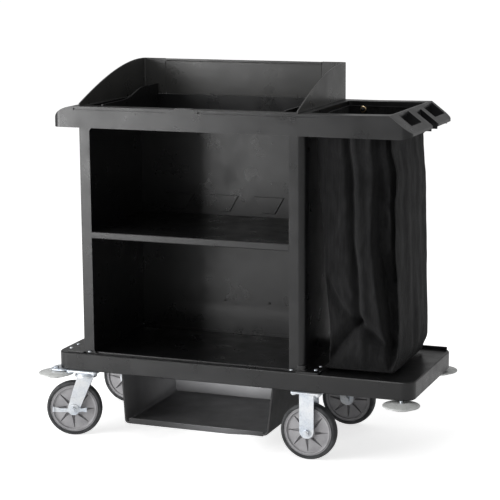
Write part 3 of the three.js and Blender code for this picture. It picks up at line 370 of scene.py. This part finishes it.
def refined(node, material, width=0.0012, segments=2, sharp=25):
    """Stands for a CAD node with the same solid whose sharp edges are rounded."""
    mesh = frame["nodes"][node].data.copy()
    shape = bmesh.new()
    shape.from_mesh(mesh)
    bmesh.ops.remove_doubles(shape, verts=shape.verts, dist=0.00002)
    bmesh.ops.dissolve_limit(shape, angle_limit=math.radians(0.5), verts=shape.verts,
                             edges=shape.edges)
    corners = [e for e in shape.edges
               if e.is_manifold and e.calc_face_angle(0) > math.radians(sharp)]
    bmesh.ops.bevel(shape, geom=corners, offset=width, offset_type="OFFSET", segments=segments,
                    profile=0.5, affect="EDGES", clamp_overlap=True)
    shape.to_mesh(mesh)
    shape.free()
    for name in [a.name for a in mesh.attributes if a.name == "custom_normal"]:
        mesh.attributes.remove(mesh.attributes[name])
    smooth(mesh, 40)
    piece = new_piece(node + "_moulded", mesh, material, body_of(node))
    weights = piece.modifiers.new("flat faces stay flat", "WEIGHTED_NORMAL")
    weights.keep_sharp = True
    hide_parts(node)
    return piece


def lathe(profile, segments):
    """Points and faces of a closed profile of (radius, height) turned about Z."""
    points = []
    for i in range(segments):
        angle = 2 * math.pi * i / segments
        for radius, height in profile:
            points.append((radius * math.cos(angle), radius * math.sin(angle), height))
    faces = []
    count = len(profile)
    for i in range(segments):
        j = (i + 1) % segments
        for k in range(count):
            m = (k + 1) % count
            faces.append((i * count + k, j * count + k, j * count + m, i * count + m))
    return points, faces


def arc(centre, radius, start, end, steps):
    """Points on an arc, with angles in degrees."""
    made = []
    for i in range(steps + 1):
        angle = math.radians(start + (end - start) * i / steps)
        made.append((centre[0] + radius * math.cos(angle), centre[1] + radius * math.sin(angle)))
    return made


def axis_turn(direction):
    """Rotation that takes +Z to a direction."""
    return Vector(direction).to_track_quat("Z", "Y").to_matrix().to_4x4()


def placed(points, place):
    return [place @ Vector(p) for p in points]


def turn_outwards(mesh):
    """Turns all faces of a closed mesh outwards."""
    shape = bmesh.new()
    shape.from_mesh(mesh)
    bmesh.ops.recalc_face_normals(shape, faces=shape.faces)
    shape.to_mesh(mesh)
    shape.free()


# ---------------------------------------------------------------- moulded and pressed pieces

MOULDED = ["deck", "left_panel", "right_panel", "back_panel", "middle_shelf", "bottom_shelf",
           "top_tray"]
SIDES = ("left", "right")
ROWS = ("front", "back")

for name in MOULDED:
    refined(name, CART)
for name in ("hood_left", "hood_right", "hood_back"):
    refined(name, HOOD, width=0.0014)
refined("underdeck_bin", BIN)
refined("bag_base_board", BOARD, width=0.0008)
PRESSED = [f"fork_{row}_{side}" for row in ROWS for side in SIDES]
PRESSED += [f"caster_plate_{row}_left" for row in ROWS]
PRESSED += [f"brake_lever_{row}_left" for row in ROWS]
PRESSED += [f"bumper_bracket_{row}" for row in ROWS]
PRESSED += [f"axle_nut_{row}_{side}" for row in ROWS for side in SIDES]
PRESSED += [f"axle_{row}_{side}" for row in ROWS for side in SIDES]
for name in PRESSED:
    refined(name, ZINC, width=0.0007)
for name, node in frame["nodes"].items():
    if name.startswith(("shelf_pin", "swivel_race", "kingpin", "wheel_bush", "bumper_bolt")):
        node.data.materials.clear()
        node.data.materials.append(ZINC)

# ---------------------------------------------------------------- opening corners

# Each web starts half a millimetre inside the flange that it grows from.
OPENING_LEFT = -0.4755
OPENING_RIGHT = 0.2335
WEB_RADIUS = 0.016
WEB_SETBACK = 0.010
WEB_THICKNESS = 0.008
WEB_STEPS = 8


def opening_corner(name, x, z, inward, up):
    """Small web that rounds one corner of the cabinet's front opening."""
    centre = (x + inward * WEB_RADIUS, z + up * WEB_RADIUS)
    curved = []
    for i in range(WEB_STEPS + 1):
        angle = math.radians(90 * i / WEB_STEPS)
        curved.append((centre[0] - inward * WEB_RADIUS * math.sin(angle),
                       centre[1] - up * WEB_RADIUS * math.cos(angle)))
    outline = [(x, z)] + curved
    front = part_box("left_panel")[0].y + WEB_SETBACK
    points = [(px, front, pz) for px, pz in outline]
    points += [(px, front + WEB_THICKNESS, pz) for px, pz in outline]
    count = len(outline)
    faces = [tuple(range(count)), tuple(reversed(range(count, 2 * count)))]
    faces += [(i, i + count, (i + 1) % count + count, (i + 1) % count) for i in range(count)]
    mesh = mesh_from(name, points, faces)
    turn_outwards(mesh)
    smooth(mesh, 30)
    new_piece(name, mesh, CART, "cart")


def make_opening_corners():
    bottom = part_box("left_panel")[0].z
    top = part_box("left_panel")[1].z
    for side, x, inward in (("left", OPENING_LEFT, 1), ("right", OPENING_RIGHT, -1)):
        opening_corner(f"opening_corner_low_{side}", x, bottom, inward, 1)
        opening_corner(f"opening_corner_high_{side}", x, top, inward, -1)


make_opening_corners()

# ---------------------------------------------------------------- wheels

WHEEL_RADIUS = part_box("tyre_back_right")[1].z / 2
HALF_TREAD = (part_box("tyre_back_right")[1].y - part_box("tyre_back_right")[0].y) / 2
CORE_RADIUS = 0.0817
SPOKES = 8


def wheel_places():
    """Each wheel's label, centre and outward axis, from its joint."""
    for joint in frame["joints"]:
        if not joint["name"].startswith("wheel_"):
            continue
        label = joint["name"].removeprefix("wheel_")
        outward = Vector(joint["axis"]) * (-1 if label.startswith("front") else 1)
        yield label, Vector(joint["pos_m"]), outward, joint["child"]


def tyre_profile():
    """Closed section of the tyre: flat sidewalls with a groove, round shoulders, crowned tread."""
    shoulder = 0.007
    half = HALF_TREAD
    side = [(CORE_RADIUS + 0.0003, half - 0.003), (CORE_RADIUS + 0.0012, half),
            (CORE_RADIUS + 0.0035, half), (CORE_RADIUS + 0.0042, half - 0.001),
            (CORE_RADIUS + 0.0050, half)]
    upper = arc((WHEEL_RADIUS - 0.001 - shoulder, half - shoulder), shoulder, 88, 10, 6)
    crown = [(WHEEL_RADIUS - 0.0003, half - 0.010), (WHEEL_RADIUS, half - 0.015)]
    top = side + upper + crown
    bottom = [(radius, -height) for radius, height in reversed(top)]
    return top + bottom


def wedge_depth(radius, angle):
    """How deep the face is cut at a point: eight wedges, wide at the hub and pointed at the rim."""
    inner, outer, deep = 0.0245, 0.069, 0.0100
    if not inner < radius < outer:
        return 0.0
    share = (radius - inner) / (outer - inner)
    pitch = 2 * math.pi / SPOKES
    across = ((angle + pitch / 2) % pitch - pitch / 2) * radius
    left = -0.0080 * (1 - share) - 0.0007
    right = 0.0026 * (1 - share) + 0.0007
    inside = min(across - left, right - across)
    edge = min(max(inside / 0.0012, 0.0), 1.0)
    ends = min(share / 0.04, (1 - share) / 0.05, 1.0)
    return deep * edge * ends * (1 - 0.35 * share)


def face_height(radius):
    """Height of the wheel's face above its mid plane: hub barrel, dish and raised rim."""
    half = HALF_TREAD
    stations = [(0.0103, half + 0.0045), (0.019, half + 0.0045), (0.0205, half - 0.002),
                (0.024, half - 0.0035), (0.069, half - 0.0065), (0.0722, half - 0.0060),
                (0.0735, half - 0.0010), (0.0765, half - 0.0004), (0.0775, half - 0.0028),
                (0.0795, half - 0.0028), (0.0803, half - 0.0008), (CORE_RADIUS, half - 0.0014)]
    radii = [s[0] for s in stations]
    heights = [s[1] for s in stations]
    return float(np.interp(radius, radii, heights))


def wheel_core_mesh(name, place):
    """Both dished faces and the bore, on a polar grid fine enough for the wedges."""
    spans = ((0.0103, 0.019, 3), (0.0205, 0.0245, 3), (0.0257, 0.069, 16), (0.0705, 0.0735, 3),
             (0.0765, 0.0803, 5), (0.0810, CORE_RADIUS, 2))
    radii = [float(r) for low, high, count in spans for r in np.linspace(low, high, count)]
    columns = SPOKES * 36
    points = []
    for side in (1, -1):
        for radius in radii:
            for i in range(columns):
                angle = 2 * math.pi * i / columns
                height = face_height(radius) - wedge_depth(radius, angle)
                points.append((radius * math.cos(angle), radius * math.sin(angle), side * height))
    faces = []
    rings = len(radii)
    for side in range(2):
        base = side * rings * columns
        for r in range(rings - 1):
            for i in range(columns):
                j = (i + 1) % columns
                quad = (base + r * columns + i, base + (r + 1) * columns + i,
                        base + (r + 1) * columns + j, base + r * columns + j)
                faces.append(quad if side == 0 else tuple(reversed(quad)))
    for ring in (0, rings - 1):
        for i in range(columns):
            j = (i + 1) % columns
            quad = (ring * columns + i, ring * columns + j,
                    rings * columns + ring * columns + j, rings * columns + ring * columns + i)
            faces.append(quad if ring == 0 else tuple(reversed(quad)))
    mesh = mesh_from(name, placed(points, place), faces)
    smooth(mesh, 30)
    return mesh


def make_wheels():
    for label, centre, outward, body in wheel_places():
        place = Matrix.Translation(centre) @ axis_turn(outward)
        points, faces = lathe(tyre_profile(), 96)
        mesh = mesh_from("tyre", placed(points, place), faces)
        smooth(mesh, 35)
        tyre = new_piece(f"rubber_tyre_{label}", mesh, RUBBER, body)
        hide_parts(f"tyre_{label}")
        core = new_piece(f"wheel_centre_{label}", wheel_core_mesh("wheel_centre", place), HUB,
                         body)
        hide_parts(f"wheel_core_{label}")


make_wheels()

# ---------------------------------------------------------------- bumpers


def bumper_profile(low, high, radius):
    """Mushroom section: small flat foot, flared underside, round rim and a gently domed top."""
    bore = 0.0053
    under = [(bore, low), (0.030, low), (0.036, low + 0.0015), (0.047, low + 0.0085)]
    rim = arc((radius - 0.003, low + 0.0125), 0.003, -60, 75, 5)
    top = [(radius - 0.006, low + 0.0165), (0.042, high - 0.0026), (0.030, high - 0.0008),
           (0.020, high), (0.013, high - 0.0008), (bore, high - 0.0008)]
    return under + rim + top


def make_bumpers():
    for row in ROWS:
        for side in SIDES:
            node = f"bumper_{row}_{side}"
            low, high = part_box(node)
            centre = (low + high) / 2
            radius = (high.x - low.x) / 2
            points, faces = lathe(bumper_profile(low.z, high.z, radius), 72)
            place = Matrix.Translation((centre.x, centre.y, 0))
            mesh = mesh_from(node, placed(points, place), faces)
            smooth(mesh, 50)
            disc = new_piece(f"roller_disc_{row}_{side}", mesh, BUMPER,
                             body_of(node))
            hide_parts(node)


make_bumpers()

# ---------------------------------------------------------------- laundry bag

BAG_LOW, BAG_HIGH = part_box("laundry_bag")
BAG_BASE_Z = BAG_LOW.z + 0.002
BAG_TOP_Z = BAG_HIGH.z
CLOTH_THICKNESS = 0.0016


def curve(z, stations):
    """Smooth value at a height through (height, value) stations."""
    heights = [s[0] for s in stations]
    values = [s[1] for s in stations]
    for i in range(len(heights) - 1):
        if z <= heights[i + 1] or i == len(heights) - 2:
            share = min(max((z - heights[i]) / (heights[i + 1] - heights[i]), 0.0), 1.0)
            share = share * share * (3 - 2 * share)
            return values[i] + (values[i + 1] - values[i]) * share
    return values[-1]


def bag_corners(z):
    """The four corner edges of the bag at a height: front left, front right, back right, back left."""
    left = curve(z, [(0.302, 0.334), (0.318, 0.352), (0.40, 0.356), (0.66, 0.336),
                     (1.05, 0.308), (1.13, 0.314)])
    right = curve(z, [(0.302, 0.570), (0.36, 0.582), (0.58, 0.580), (0.74, 0.577),
                      (0.84, 0.568), (0.94, 0.572), (1.05, 0.562), (1.13, 0.558)])
    front = curve(z, [(0.302, -0.166), (0.46, -0.160), (0.60, -0.176), (0.72, -0.192),
                      (0.84, -0.168), (0.94, -0.150), (1.04, -0.192), (1.13, -0.194)])
    back_right = curve(z, [(0.302, 0.568), (0.36, 0.584), (0.60, 0.580), (0.85, 0.572),
                           (1.02, 0.563), (1.13, 0.556)])
    return [
        Vector((left, -0.172, z)),
        Vector((right, front, z)),
        Vector((back_right, 0.198, z)),
        Vector((0.298, 0.196, z)),
    ]


def valley(x, z, path, width, depth, sharpness=1.0):
    """Inward fold along a path of (x, z) points: deepest on the line, gone a width away."""
    nearest = 1e9
    for (x0, z0), (x1, z1) in zip(path, path[1:]):
        dx, dz = x1 - x0, z1 - z0
        share = ((x - x0) * dx + (z - z0) * dz) / (dx * dx + dz * dz)
        share = min(max(share, 0.0), 1.0)
        away = math.hypot(x - x0 - share * dx, z - z0 - share * dz)
        nearest = min(nearest, away)
    fall = max(0.0, 1 - nearest / width)
    return -depth * fall ** (1 + sharpness)


def ripple(x, y, z, scale, stretch):
    return noise.noise(Vector((x * scale, y * scale, z * scale * stretch)))


# Folds on the front of the bag, as (x, z) paths in metres.
LONG_FOLD = [(0.415, 1.13), (0.430, 0.855), (0.437, 0.715), (0.451, 0.571), (0.452, 0.460)]
PLEAT = [(0.506, 1.13), (0.504, 0.894), (0.505, 0.738), (0.516, 0.612), (0.536, 0.455),
         (0.556, 0.325)]
CORNER_FOLD = [(0.548, 1.13), (0.556, 0.95), (0.560, 0.82), (0.566, 0.72), (0.562, 0.60)]
GUSSET = [(0.352, 0.335), (0.452, 0.460), (0.545, 0.385)]
GUSSET_TAIL = [(0.345, 0.600), (0.400, 0.500), (0.452, 0.460)]


def front_relief(x, z, share):
    """How far the front face stands out of the flat between its corners."""
    window = math.sin(math.pi * min(max(share, 0.0), 1.0)) ** 0.6
    fade = min(max((z - BAG_BASE_Z) / 0.05, 0.0), 1.0)
    tied = min(max((BAG_TOP_Z - z) / 0.05, 0.25), 1.0)
    out = 0.010 * window
    out += valley(x, z, LONG_FOLD, 0.026, 0.024, 0.6)
    out += 0.008 * math.exp(-((x - curve(z, [(0.3, 0.47), (0.7, 0.462), (1.1, 0.438)])) / 0.016) ** 2)
    out += valley(x, z, CORNER_FOLD, 0.013, 0.032, 0.3)
    out += valley(x, z, GUSSET, 0.040, 0.028, 0.5)
    out += valley(x, z, GUSSET_TAIL, 0.032, 0.014, 0.5)
    fold_x = float(np.interp(z, [p[1] for p in reversed(PLEAT)], [p[0] for p in reversed(PLEAT)]))
    deep = curve(z, [(0.30, 0.0), (0.33, 0.020), (0.40, 0.046), (0.50, 0.058), (0.62, 0.060),
                     (0.74, 0.044), (0.82, 0.026), (0.95, 0.022), (1.13, 0.022)])
    behind = x - fold_x
    if behind > -0.012:
        step = min(max((behind + 0.004) / 0.009, 0.0), 1.0)
        out -= deep * step * step * (3 - 2 * step)
        out += 0.006 * math.exp(-((behind + 0.009) / 0.006) ** 2)
    else:
        out += 0.006 * math.exp(-((behind + 0.009) / 0.014) ** 2)
    out += 0.0035 * ripple(x, 0.1, z, 22, 0.4) + 0.0016 * ripple(x, 0.7, z, 60, 0.5)
    crumpled = curve(z, [(0.30, 0.3), (0.42, 1.0), (0.80, 1.0), (0.98, 0.2)])
    strength = 0.022 if behind > 0 else 0.006
    out -= strength * crumpled * abs(ripple(x, 0.4, z + 0.35 * x, 30, 0.42))
    return out * fade * tied * min(window * 3, 1.0)


def side_relief(across, z, share, seed, size):
    """Soft upright waves on the other faces."""
    window = math.sin(math.pi * min(max(share, 0.0), 1.0)) ** 0.7
    fade = min(max((z - BAG_BASE_Z) / 0.06, 0.0), 1.0)
    drift = 0.8 * math.sin(3.1 * z + seed)
    waves = math.sin(2 * math.pi * (3.1 * share + 0.25 * drift) + seed)
    waves += 0.6 * math.sin(2 * math.pi * (5.3 * share - 0.3 * drift) + 2 * seed)
    out = size * (0.5 + 0.5 * waves) * window
    out += 0.005 * window
    out += 0.003 * ripple(across, seed, z, 16, 0.35) + 0.0012 * ripple(across, seed, z, 55, 0.5)
    return out * fade


def bag_ring(z, columns):
    """Points round the bag at a height, with the distance run so far."""
    corners = bag_corners(z)
    outward = [Vector((0, -1, 0)), Vector((1, 0, 0)), Vector((0, 1, 0)), Vector((-1, 0, 0))]
    points = []
    for side in range(4):
        start, end = corners[side], corners[(side + 1) % 4]
        count = columns[side]
        for i in range(count):
            share = i / count
            flat = start.lerp(end, share)
            if side == 0:
                relief = front_relief(flat.x, z, share)
            elif side == 2:
                relief = side_relief(flat.x, z, share, 2.3, 0.004)
            else:
                relief = side_relief(flat.y, z, share, 1.1 * side, 0.0035 if side == 1 else 0.002)
            points.append(flat + outward[side] * relief)
    return points


def rounded_ring(points, passes=2):
    """Softens a ring's corners by averaging each point with its neighbours."""
    for _ in range(passes):
        count = len(points)
        points = [(points[i - 1] + points[i] * 2 + points[(i + 1) % count]) / 4
                  for i in range(count)]
    return points


def bag_shell():
    """The bag's four sewn sides as one closed strip of cloth, with a UV map in metres."""
    columns = (96, 84, 48, 60)
    rows = 150
    points = []
    for r in range(rows + 1):
        z = BAG_BASE_Z + (BAG_TOP_Z - BAG_BASE_Z) * r / rows
        points.extend(rounded_ring(bag_ring(z, columns)))
    around = sum(columns)
    faces = []
    for r in range(rows):
        for i in range(around):
            j = (i + 1) % around
            faces.append((r * around + i, r * around + j, (r + 1) * around + j,
                          (r + 1) * around + i))
    mesh = mesh_from("bag_sides", points, faces)
    add_cloth_map(mesh, points, around, rows)
    smooth(mesh, 180)
    return mesh


def add_cloth_map(mesh, points, around, rows):
    """UV map whose unit is the metre, so that the weave keeps its size."""
    layer = mesh.uv_layers.new(name="cloth")
    run = [0.0]
    for i in range(around):
        run.append(run[-1] + (points[(i + 1) % around] - points[i]).length)
    index = 0
    height = BAG_TOP_Z - BAG_BASE_Z
    for r in range(rows):
        v0, v1 = height * r / rows, height * (r + 1) / rows
        for i in range(around):
            for u, v in ((run[i], v0), (run[i + 1], v0), (run[i + 1], v1), (run[i], v1)):
                layer.data[index].uv = (u, v)
                index += 1


def tube(name, path, radius, material, body, sides=8, closed=False):
    """Round tube along a path of points."""
    points = []
    count = len(path)
    for i, centre in enumerate(path):
        ahead = path[(i + 1) % count] if closed else path[min(i + 1, count - 1)]
        behind = path[i - 1] if closed else path[max(i - 1, 0)]
        along = (ahead - behind).normalized()
        first = along.orthogonal() if abs(along.z) > 0.9 else along.cross(Vector((0, 0, 1)))
        first.normalize()
        second = along.cross(first)
        for k in range(sides):
            angle = 2 * math.pi * k / sides
            points.append(centre + (first * math.cos(angle) + second * math.sin(angle)) * radius)
    faces = []
    for i in range(count if closed else count - 1):
        j = (i + 1) % count
        for k in range(sides):
            m = (k + 1) % sides
            faces.append((i * sides + k, i * sides + m, j * sides + m, j * sides + k))
    if not closed:
        faces.append(tuple(range(sides)))
        faces.append(tuple(reversed(range((count - 1) * sides, count * sides))))
    mesh = mesh_from(name, points, faces)
    mesh.uv_layers.new(name="cloth")
    turn_outwards(mesh)
    smooth(mesh, 60)
    return new_piece(name, mesh, material, body)


def bag_floor():
    """Stiff covered base: a thin slab with a rounded edge under the cloth sides."""
    corners = bag_corners(BAG_BASE_Z)
    ring = []
    for a, b in zip(corners, corners[1:] + corners[:1]):
        ring.extend(a.lerp(b, i / 16) for i in range(16))
    ring = rounded_ring(ring, 3)
    centre = sum(ring, Vector()) / len(ring)
    layers = [(0.0040, -0.0015), (0.0, -0.0005), (-0.0012, 0.0020), (0.0002, 0.0046),
              (0.0060, 0.0056)]
    points = []
    for inset, rise in layers:
        for p in ring:
            toward = (centre - p)
            toward.z = 0
            points.append(p + toward.normalized() * inset + Vector((0, 0, rise)))
    count = len(ring)
    faces = []
    for r in range(len(layers) - 1):
        for i in range(count):
            j = (i + 1) % count
            faces.append((r * count + i, r * count + j, (r + 1) * count + j, (r + 1) * count + i))
    faces.append(tuple(reversed(range(count))))
    faces.append(tuple(range((len(layers) - 1) * count, len(layers) * count)))
    mesh = mesh_from("bag_floor", points, faces)
    mesh.uv_layers.new(name="cloth")
    turn_outwards(mesh)
    smooth(mesh, 40)
    return new_piece("bag_floor", mesh, CLOTH, "cart")


def make_bag():
    sides = new_piece("bag_sides", bag_shell(), CLOTH, "cart")
    thick = sides.modifiers.new("cloth thickness", "SOLIDIFY")
    thick.thickness = CLOTH_THICKNESS
    thick.offset = -1
    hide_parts("laundry_bag")
    bag_floor()
    base = rounded_ring(bag_ring(BAG_BASE_Z + 0.004, (48, 42, 24, 30)))
    tube("bag_base_piping", base, 0.0022, CLOTH, "cart", closed=True)
    hem = rounded_ring(bag_ring(BAG_TOP_Z - 0.002, (48, 42, 24, 30)))
    tube("bag_top_hem", hem, 0.0028, CLOTH, "cart", closed=True)


make_bag()

# ---------------------------------------------------------------- fasteners


def screw(name, place, outward, radius=0.006, material=ZINC):
    """Pan-head screw with a cross recess, its head standing on a surface."""
    rise = radius * 0.55
    sides = 24
    points = []
    rings = [(1.0, 0.0), (1.0, 0.25), (0.93, 0.55), (0.75, 0.85), (0.45, 1.0), (0.2, 1.0)]
    for share, height in rings:
        for i in range(sides):
            angle = 2 * math.pi * i / sides
            points.append((radius * share * math.cos(angle), radius * share * math.sin(angle),
                           rise * height))
    for i in range(sides):
        angle = 2 * math.pi * i / sides
        slot_depth = 0.5 if i % (sides // 4) < 2 else 0.0
        reach = 0.12
        points.append((radius * reach * math.cos(angle), radius * reach * math.sin(angle),
                       rise * (1.0 - 0.4 - slot_depth * 0.4)))
    faces = []
    for r in range(len(rings)):
        for i in range(sides):
            j = (i + 1) % sides
            faces.append((r * sides + i, r * sides + j, (r + 1) * sides + j, (r + 1) * sides + i))
    faces.append(tuple(reversed(range(sides))))
    faces.append(tuple(range(len(rings) * sides, (len(rings) + 1) * sides)))
    turn = Matrix.Translation(place) @ axis_turn(outward)
    mesh = mesh_from(name, placed(points, turn), faces)
    smooth(mesh, 40)
    return new_piece(name, mesh, material, "cart")


def hex_bolt(name, place, outward, across=0.013, tall=0.005, body="cart"):
    """Hexagon head on a washer."""
    points = []
    rings = [(0.78, 24, 0.0), (0.78, 24, 0.0012), (0.577, 6, 0.0012), (0.577, 6, tall * 0.85),
             (0.5, 6, tall)]
    turn = Matrix.Translation(place) @ axis_turn(outward)
    washer = []
    for share, sides, height in rings[:2]:
        washer.extend((across * share * math.cos(2 * math.pi * i / sides),
                       across * share * math.sin(2 * math.pi * i / sides), height)
                      for i in range(sides))
    for share, sides, height in rings[2:]:
        points.extend((across * share * math.cos(2 * math.pi * i / sides),
                       across * share * math.sin(2 * math.pi * i / sides), height)
                      for i in range(sides))
    faces = [tuple(reversed(range(24))), tuple(range(24, 48))]
    faces += [(i, (i + 1) % 24, 24 + (i + 1) % 24, 24 + i) for i in range(24)]
    base = 48
    for r in range(2):
        faces += [(base + r * 6 + i, base + r * 6 + (i + 1) % 6, base + (r + 1) * 6 + (i + 1) % 6,
                   base + (r + 1) * 6 + i) for i in range(6)]
    faces += [tuple(base + i for i in reversed(range(6))), tuple(base + 12 + i for i in range(6))]
    mesh = mesh_from(name, placed(washer + points, turn), faces)
    smooth(mesh, 30)
    return new_piece(name, mesh, ZINC, body)


FOOT_THICKNESS = 0.0053


def make_foot_screws():
    """Screws that hold the panels' feet to the deck, and two along the deck's front edge."""
    deck_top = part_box("deck")[1].z
    foot_top = deck_top + FOOT_THICKNESS
    for k, (x, y) in enumerate([(-0.563, -0.228), (-0.563, -0.174), (-0.563, 0.172), (-0.563, 0.226)]):
        screw(f"left_foot_screw_{k + 1}", Vector((x, y, foot_top)), (0, 0, 1))
    for k, (x, y) in enumerate([(0.279, -0.219), (0.326, -0.230), (0.327, -0.184),
                                (0.326, 0.184), (0.327, 0.230)]):
        screw(f"right_foot_screw_{k + 1}", Vector((x, y, foot_top)), (0, 0, 1))
    for k, x in enumerate([-0.489, 0.243]):
        screw(f"deck_edge_screw_{k + 1}", Vector((x, -0.2375, deck_top)), (0, 0, 1))


def make_back_plugs():
    """Plastic plugs in the back panel just above its ledge."""
    sheet_thickness = 0.006
    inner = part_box("back_panel")[1].y - sheet_thickness
    for k, x in enumerate([-0.352, -0.182, -0.012, 0.158]):
        screw(f"back_panel_plug_{k + 1}", Vector((x, inner, 0.405)), (0, -1, 0), radius=0.0045,
              material=BOARD)


def make_plate_bolts():
    """Four bolts under each caster's mounting plate."""
    for row in ROWS:
        for side in SIDES:
            node = f"caster_plate_{row}_{side}" if side == "left" else f"fork_{row}_{side}"
            low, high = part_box(node)
            under = high.z - 0.006
            for k, (dx, dy) in enumerate([(-1, -1), (1, -1), (-1, 1), (1, 1)]):
                centre = (low + high) / 2
                x = centre.x + dx * ((high.x - low.x) / 2 - 0.011)
                y = centre.y + dy * ((high.y - low.y) / 2 - 0.009)
                hex_bolt(f"plate_bolt_{row}_{side}_{k + 1}", Vector((x, y, under)), (0, 0, -1))


def eyelet(name, place, outward):
    """Brass eyelet with a black peg through it."""
    profile = [(0.0055, 0.0), (0.0105, 0.0), (0.0112, 0.0010), (0.0098, 0.0022), (0.0072, 0.0026),
               (0.0058, 0.0016)]
    points, faces = lathe(profile, 32)
    turn = Matrix.Translation(place) @ axis_turn(outward)
    mesh = mesh_from(name, placed(points, turn), faces)
    smooth(mesh, 50)
    new_piece(name, mesh, BRASS, "cart")
    peg_profile = [(0.0004, -0.006), (0.0042, -0.006), (0.0042, 0.006), (0.0068, 0.0075),
                   (0.0062, 0.0105), (0.0030, 0.0120), (0.0004, 0.0122)]
    points, faces = lathe(peg_profile, 24)
    mesh = mesh_from(name + "_peg", placed(points, turn), faces)
    smooth(mesh, 40)
    new_piece(name + "_peg", mesh, CART, "cart")


def make_eyelets():
    z = 1.1165
    eyelet("bag_eyelet_back_left", Vector((0.350, 0.1935, z)), (0, -1, 0))
    eyelet("bag_eyelet_back_right", Vector((0.520, 0.1935, z)), (0, -1, 0))
    eyelet("bag_eyelet_front_left", Vector((0.350, -0.170, z)), (0, 1, 0))
    eyelet("bag_eyelet_front_right", Vector((0.520, -0.182, z)), (0, 1, 0))


make_foot_screws()
make_back_plugs()
make_plate_bolts()
make_eyelets()

# ---------------------------------------------------------------- stage


def make_floor():
    size = 40
    mesh = mesh_from("floor", [(-size, -size, 0), (size, -size, 0), (size, size, 0),
                               (-size, size, 0)], [(0, 1, 2, 3)])
    floor = bpy.data.objects.new("floor", mesh)
    mesh.materials.append(floor_paint())
    bpy.context.scene.collection.objects.link(floor)


def area_light(name, place, target, size, power, tall=None, spread=180):
    """Soft rectangular light; a narrow spread, in degrees, keeps it to what it points at."""
    data = bpy.data.lights.new(name, "AREA")
    data.energy = power
    data.size = size
    data.spread = math.radians(spread)
    if tall:
        data.shape = "RECTANGLE"
        data.size_y = tall
    lamp = bpy.data.objects.new(name, data)
    lamp.location = place
    lamp.rotation_mode = "QUATERNION"
    lamp.rotation_quaternion = (Vector(target) - Vector(place)).to_track_quat("-Z", "Y")
    lamp.visible_camera = False
    bpy.context.scene.collection.objects.link(lamp)
    return lamp


ROOM_LIGHT = 0.4


def make_world():
    world = bpy.data.worlds.new("studio")
    world.use_nodes = True
    background = world.node_tree.nodes["Background"]
    background.inputs["Color"].default_value = (1, 1, 1, 1)
    # The backdrop is white to look at, but the room lights the cart only dimly.
    seen = world.node_tree.nodes.new("ShaderNodeLightPath")
    level = world.node_tree.nodes.new("ShaderNodeMapRange")
    level.inputs["To Min"].default_value = ROOM_LIGHT
    level.inputs["To Max"].default_value = 1.0
    world.node_tree.links.new(seen.outputs["Is Camera Ray"], level.inputs["Value"])
    world.node_tree.links.new(level.outputs["Result"], background.inputs["Strength"])
    bpy.context.scene.world = world


def make_lights():
    middle = (0, 0, 0.65)
    area_light("key", (-2.95, -3.0, 1.05), middle, size=2.6, power=150, tall=1.95)
    area_light("top", (-0.6, -0.6, 4.6), middle, size=2.4, power=60)
    # Lifts the inside of the bin; kept out of reflections, where it would show as a hot spot.
    fill = area_light("bin fill", (0.06, -0.62, 0.08), (-0.14, 0.2, 0.14), size=0.2, power=1.3,
                      tall=0.06, spread=40)
    fill.visible_glossy = False


bpy.context.scene.view_settings.view_transform = "Standard"
make_floor()
make_world()
make_lights()
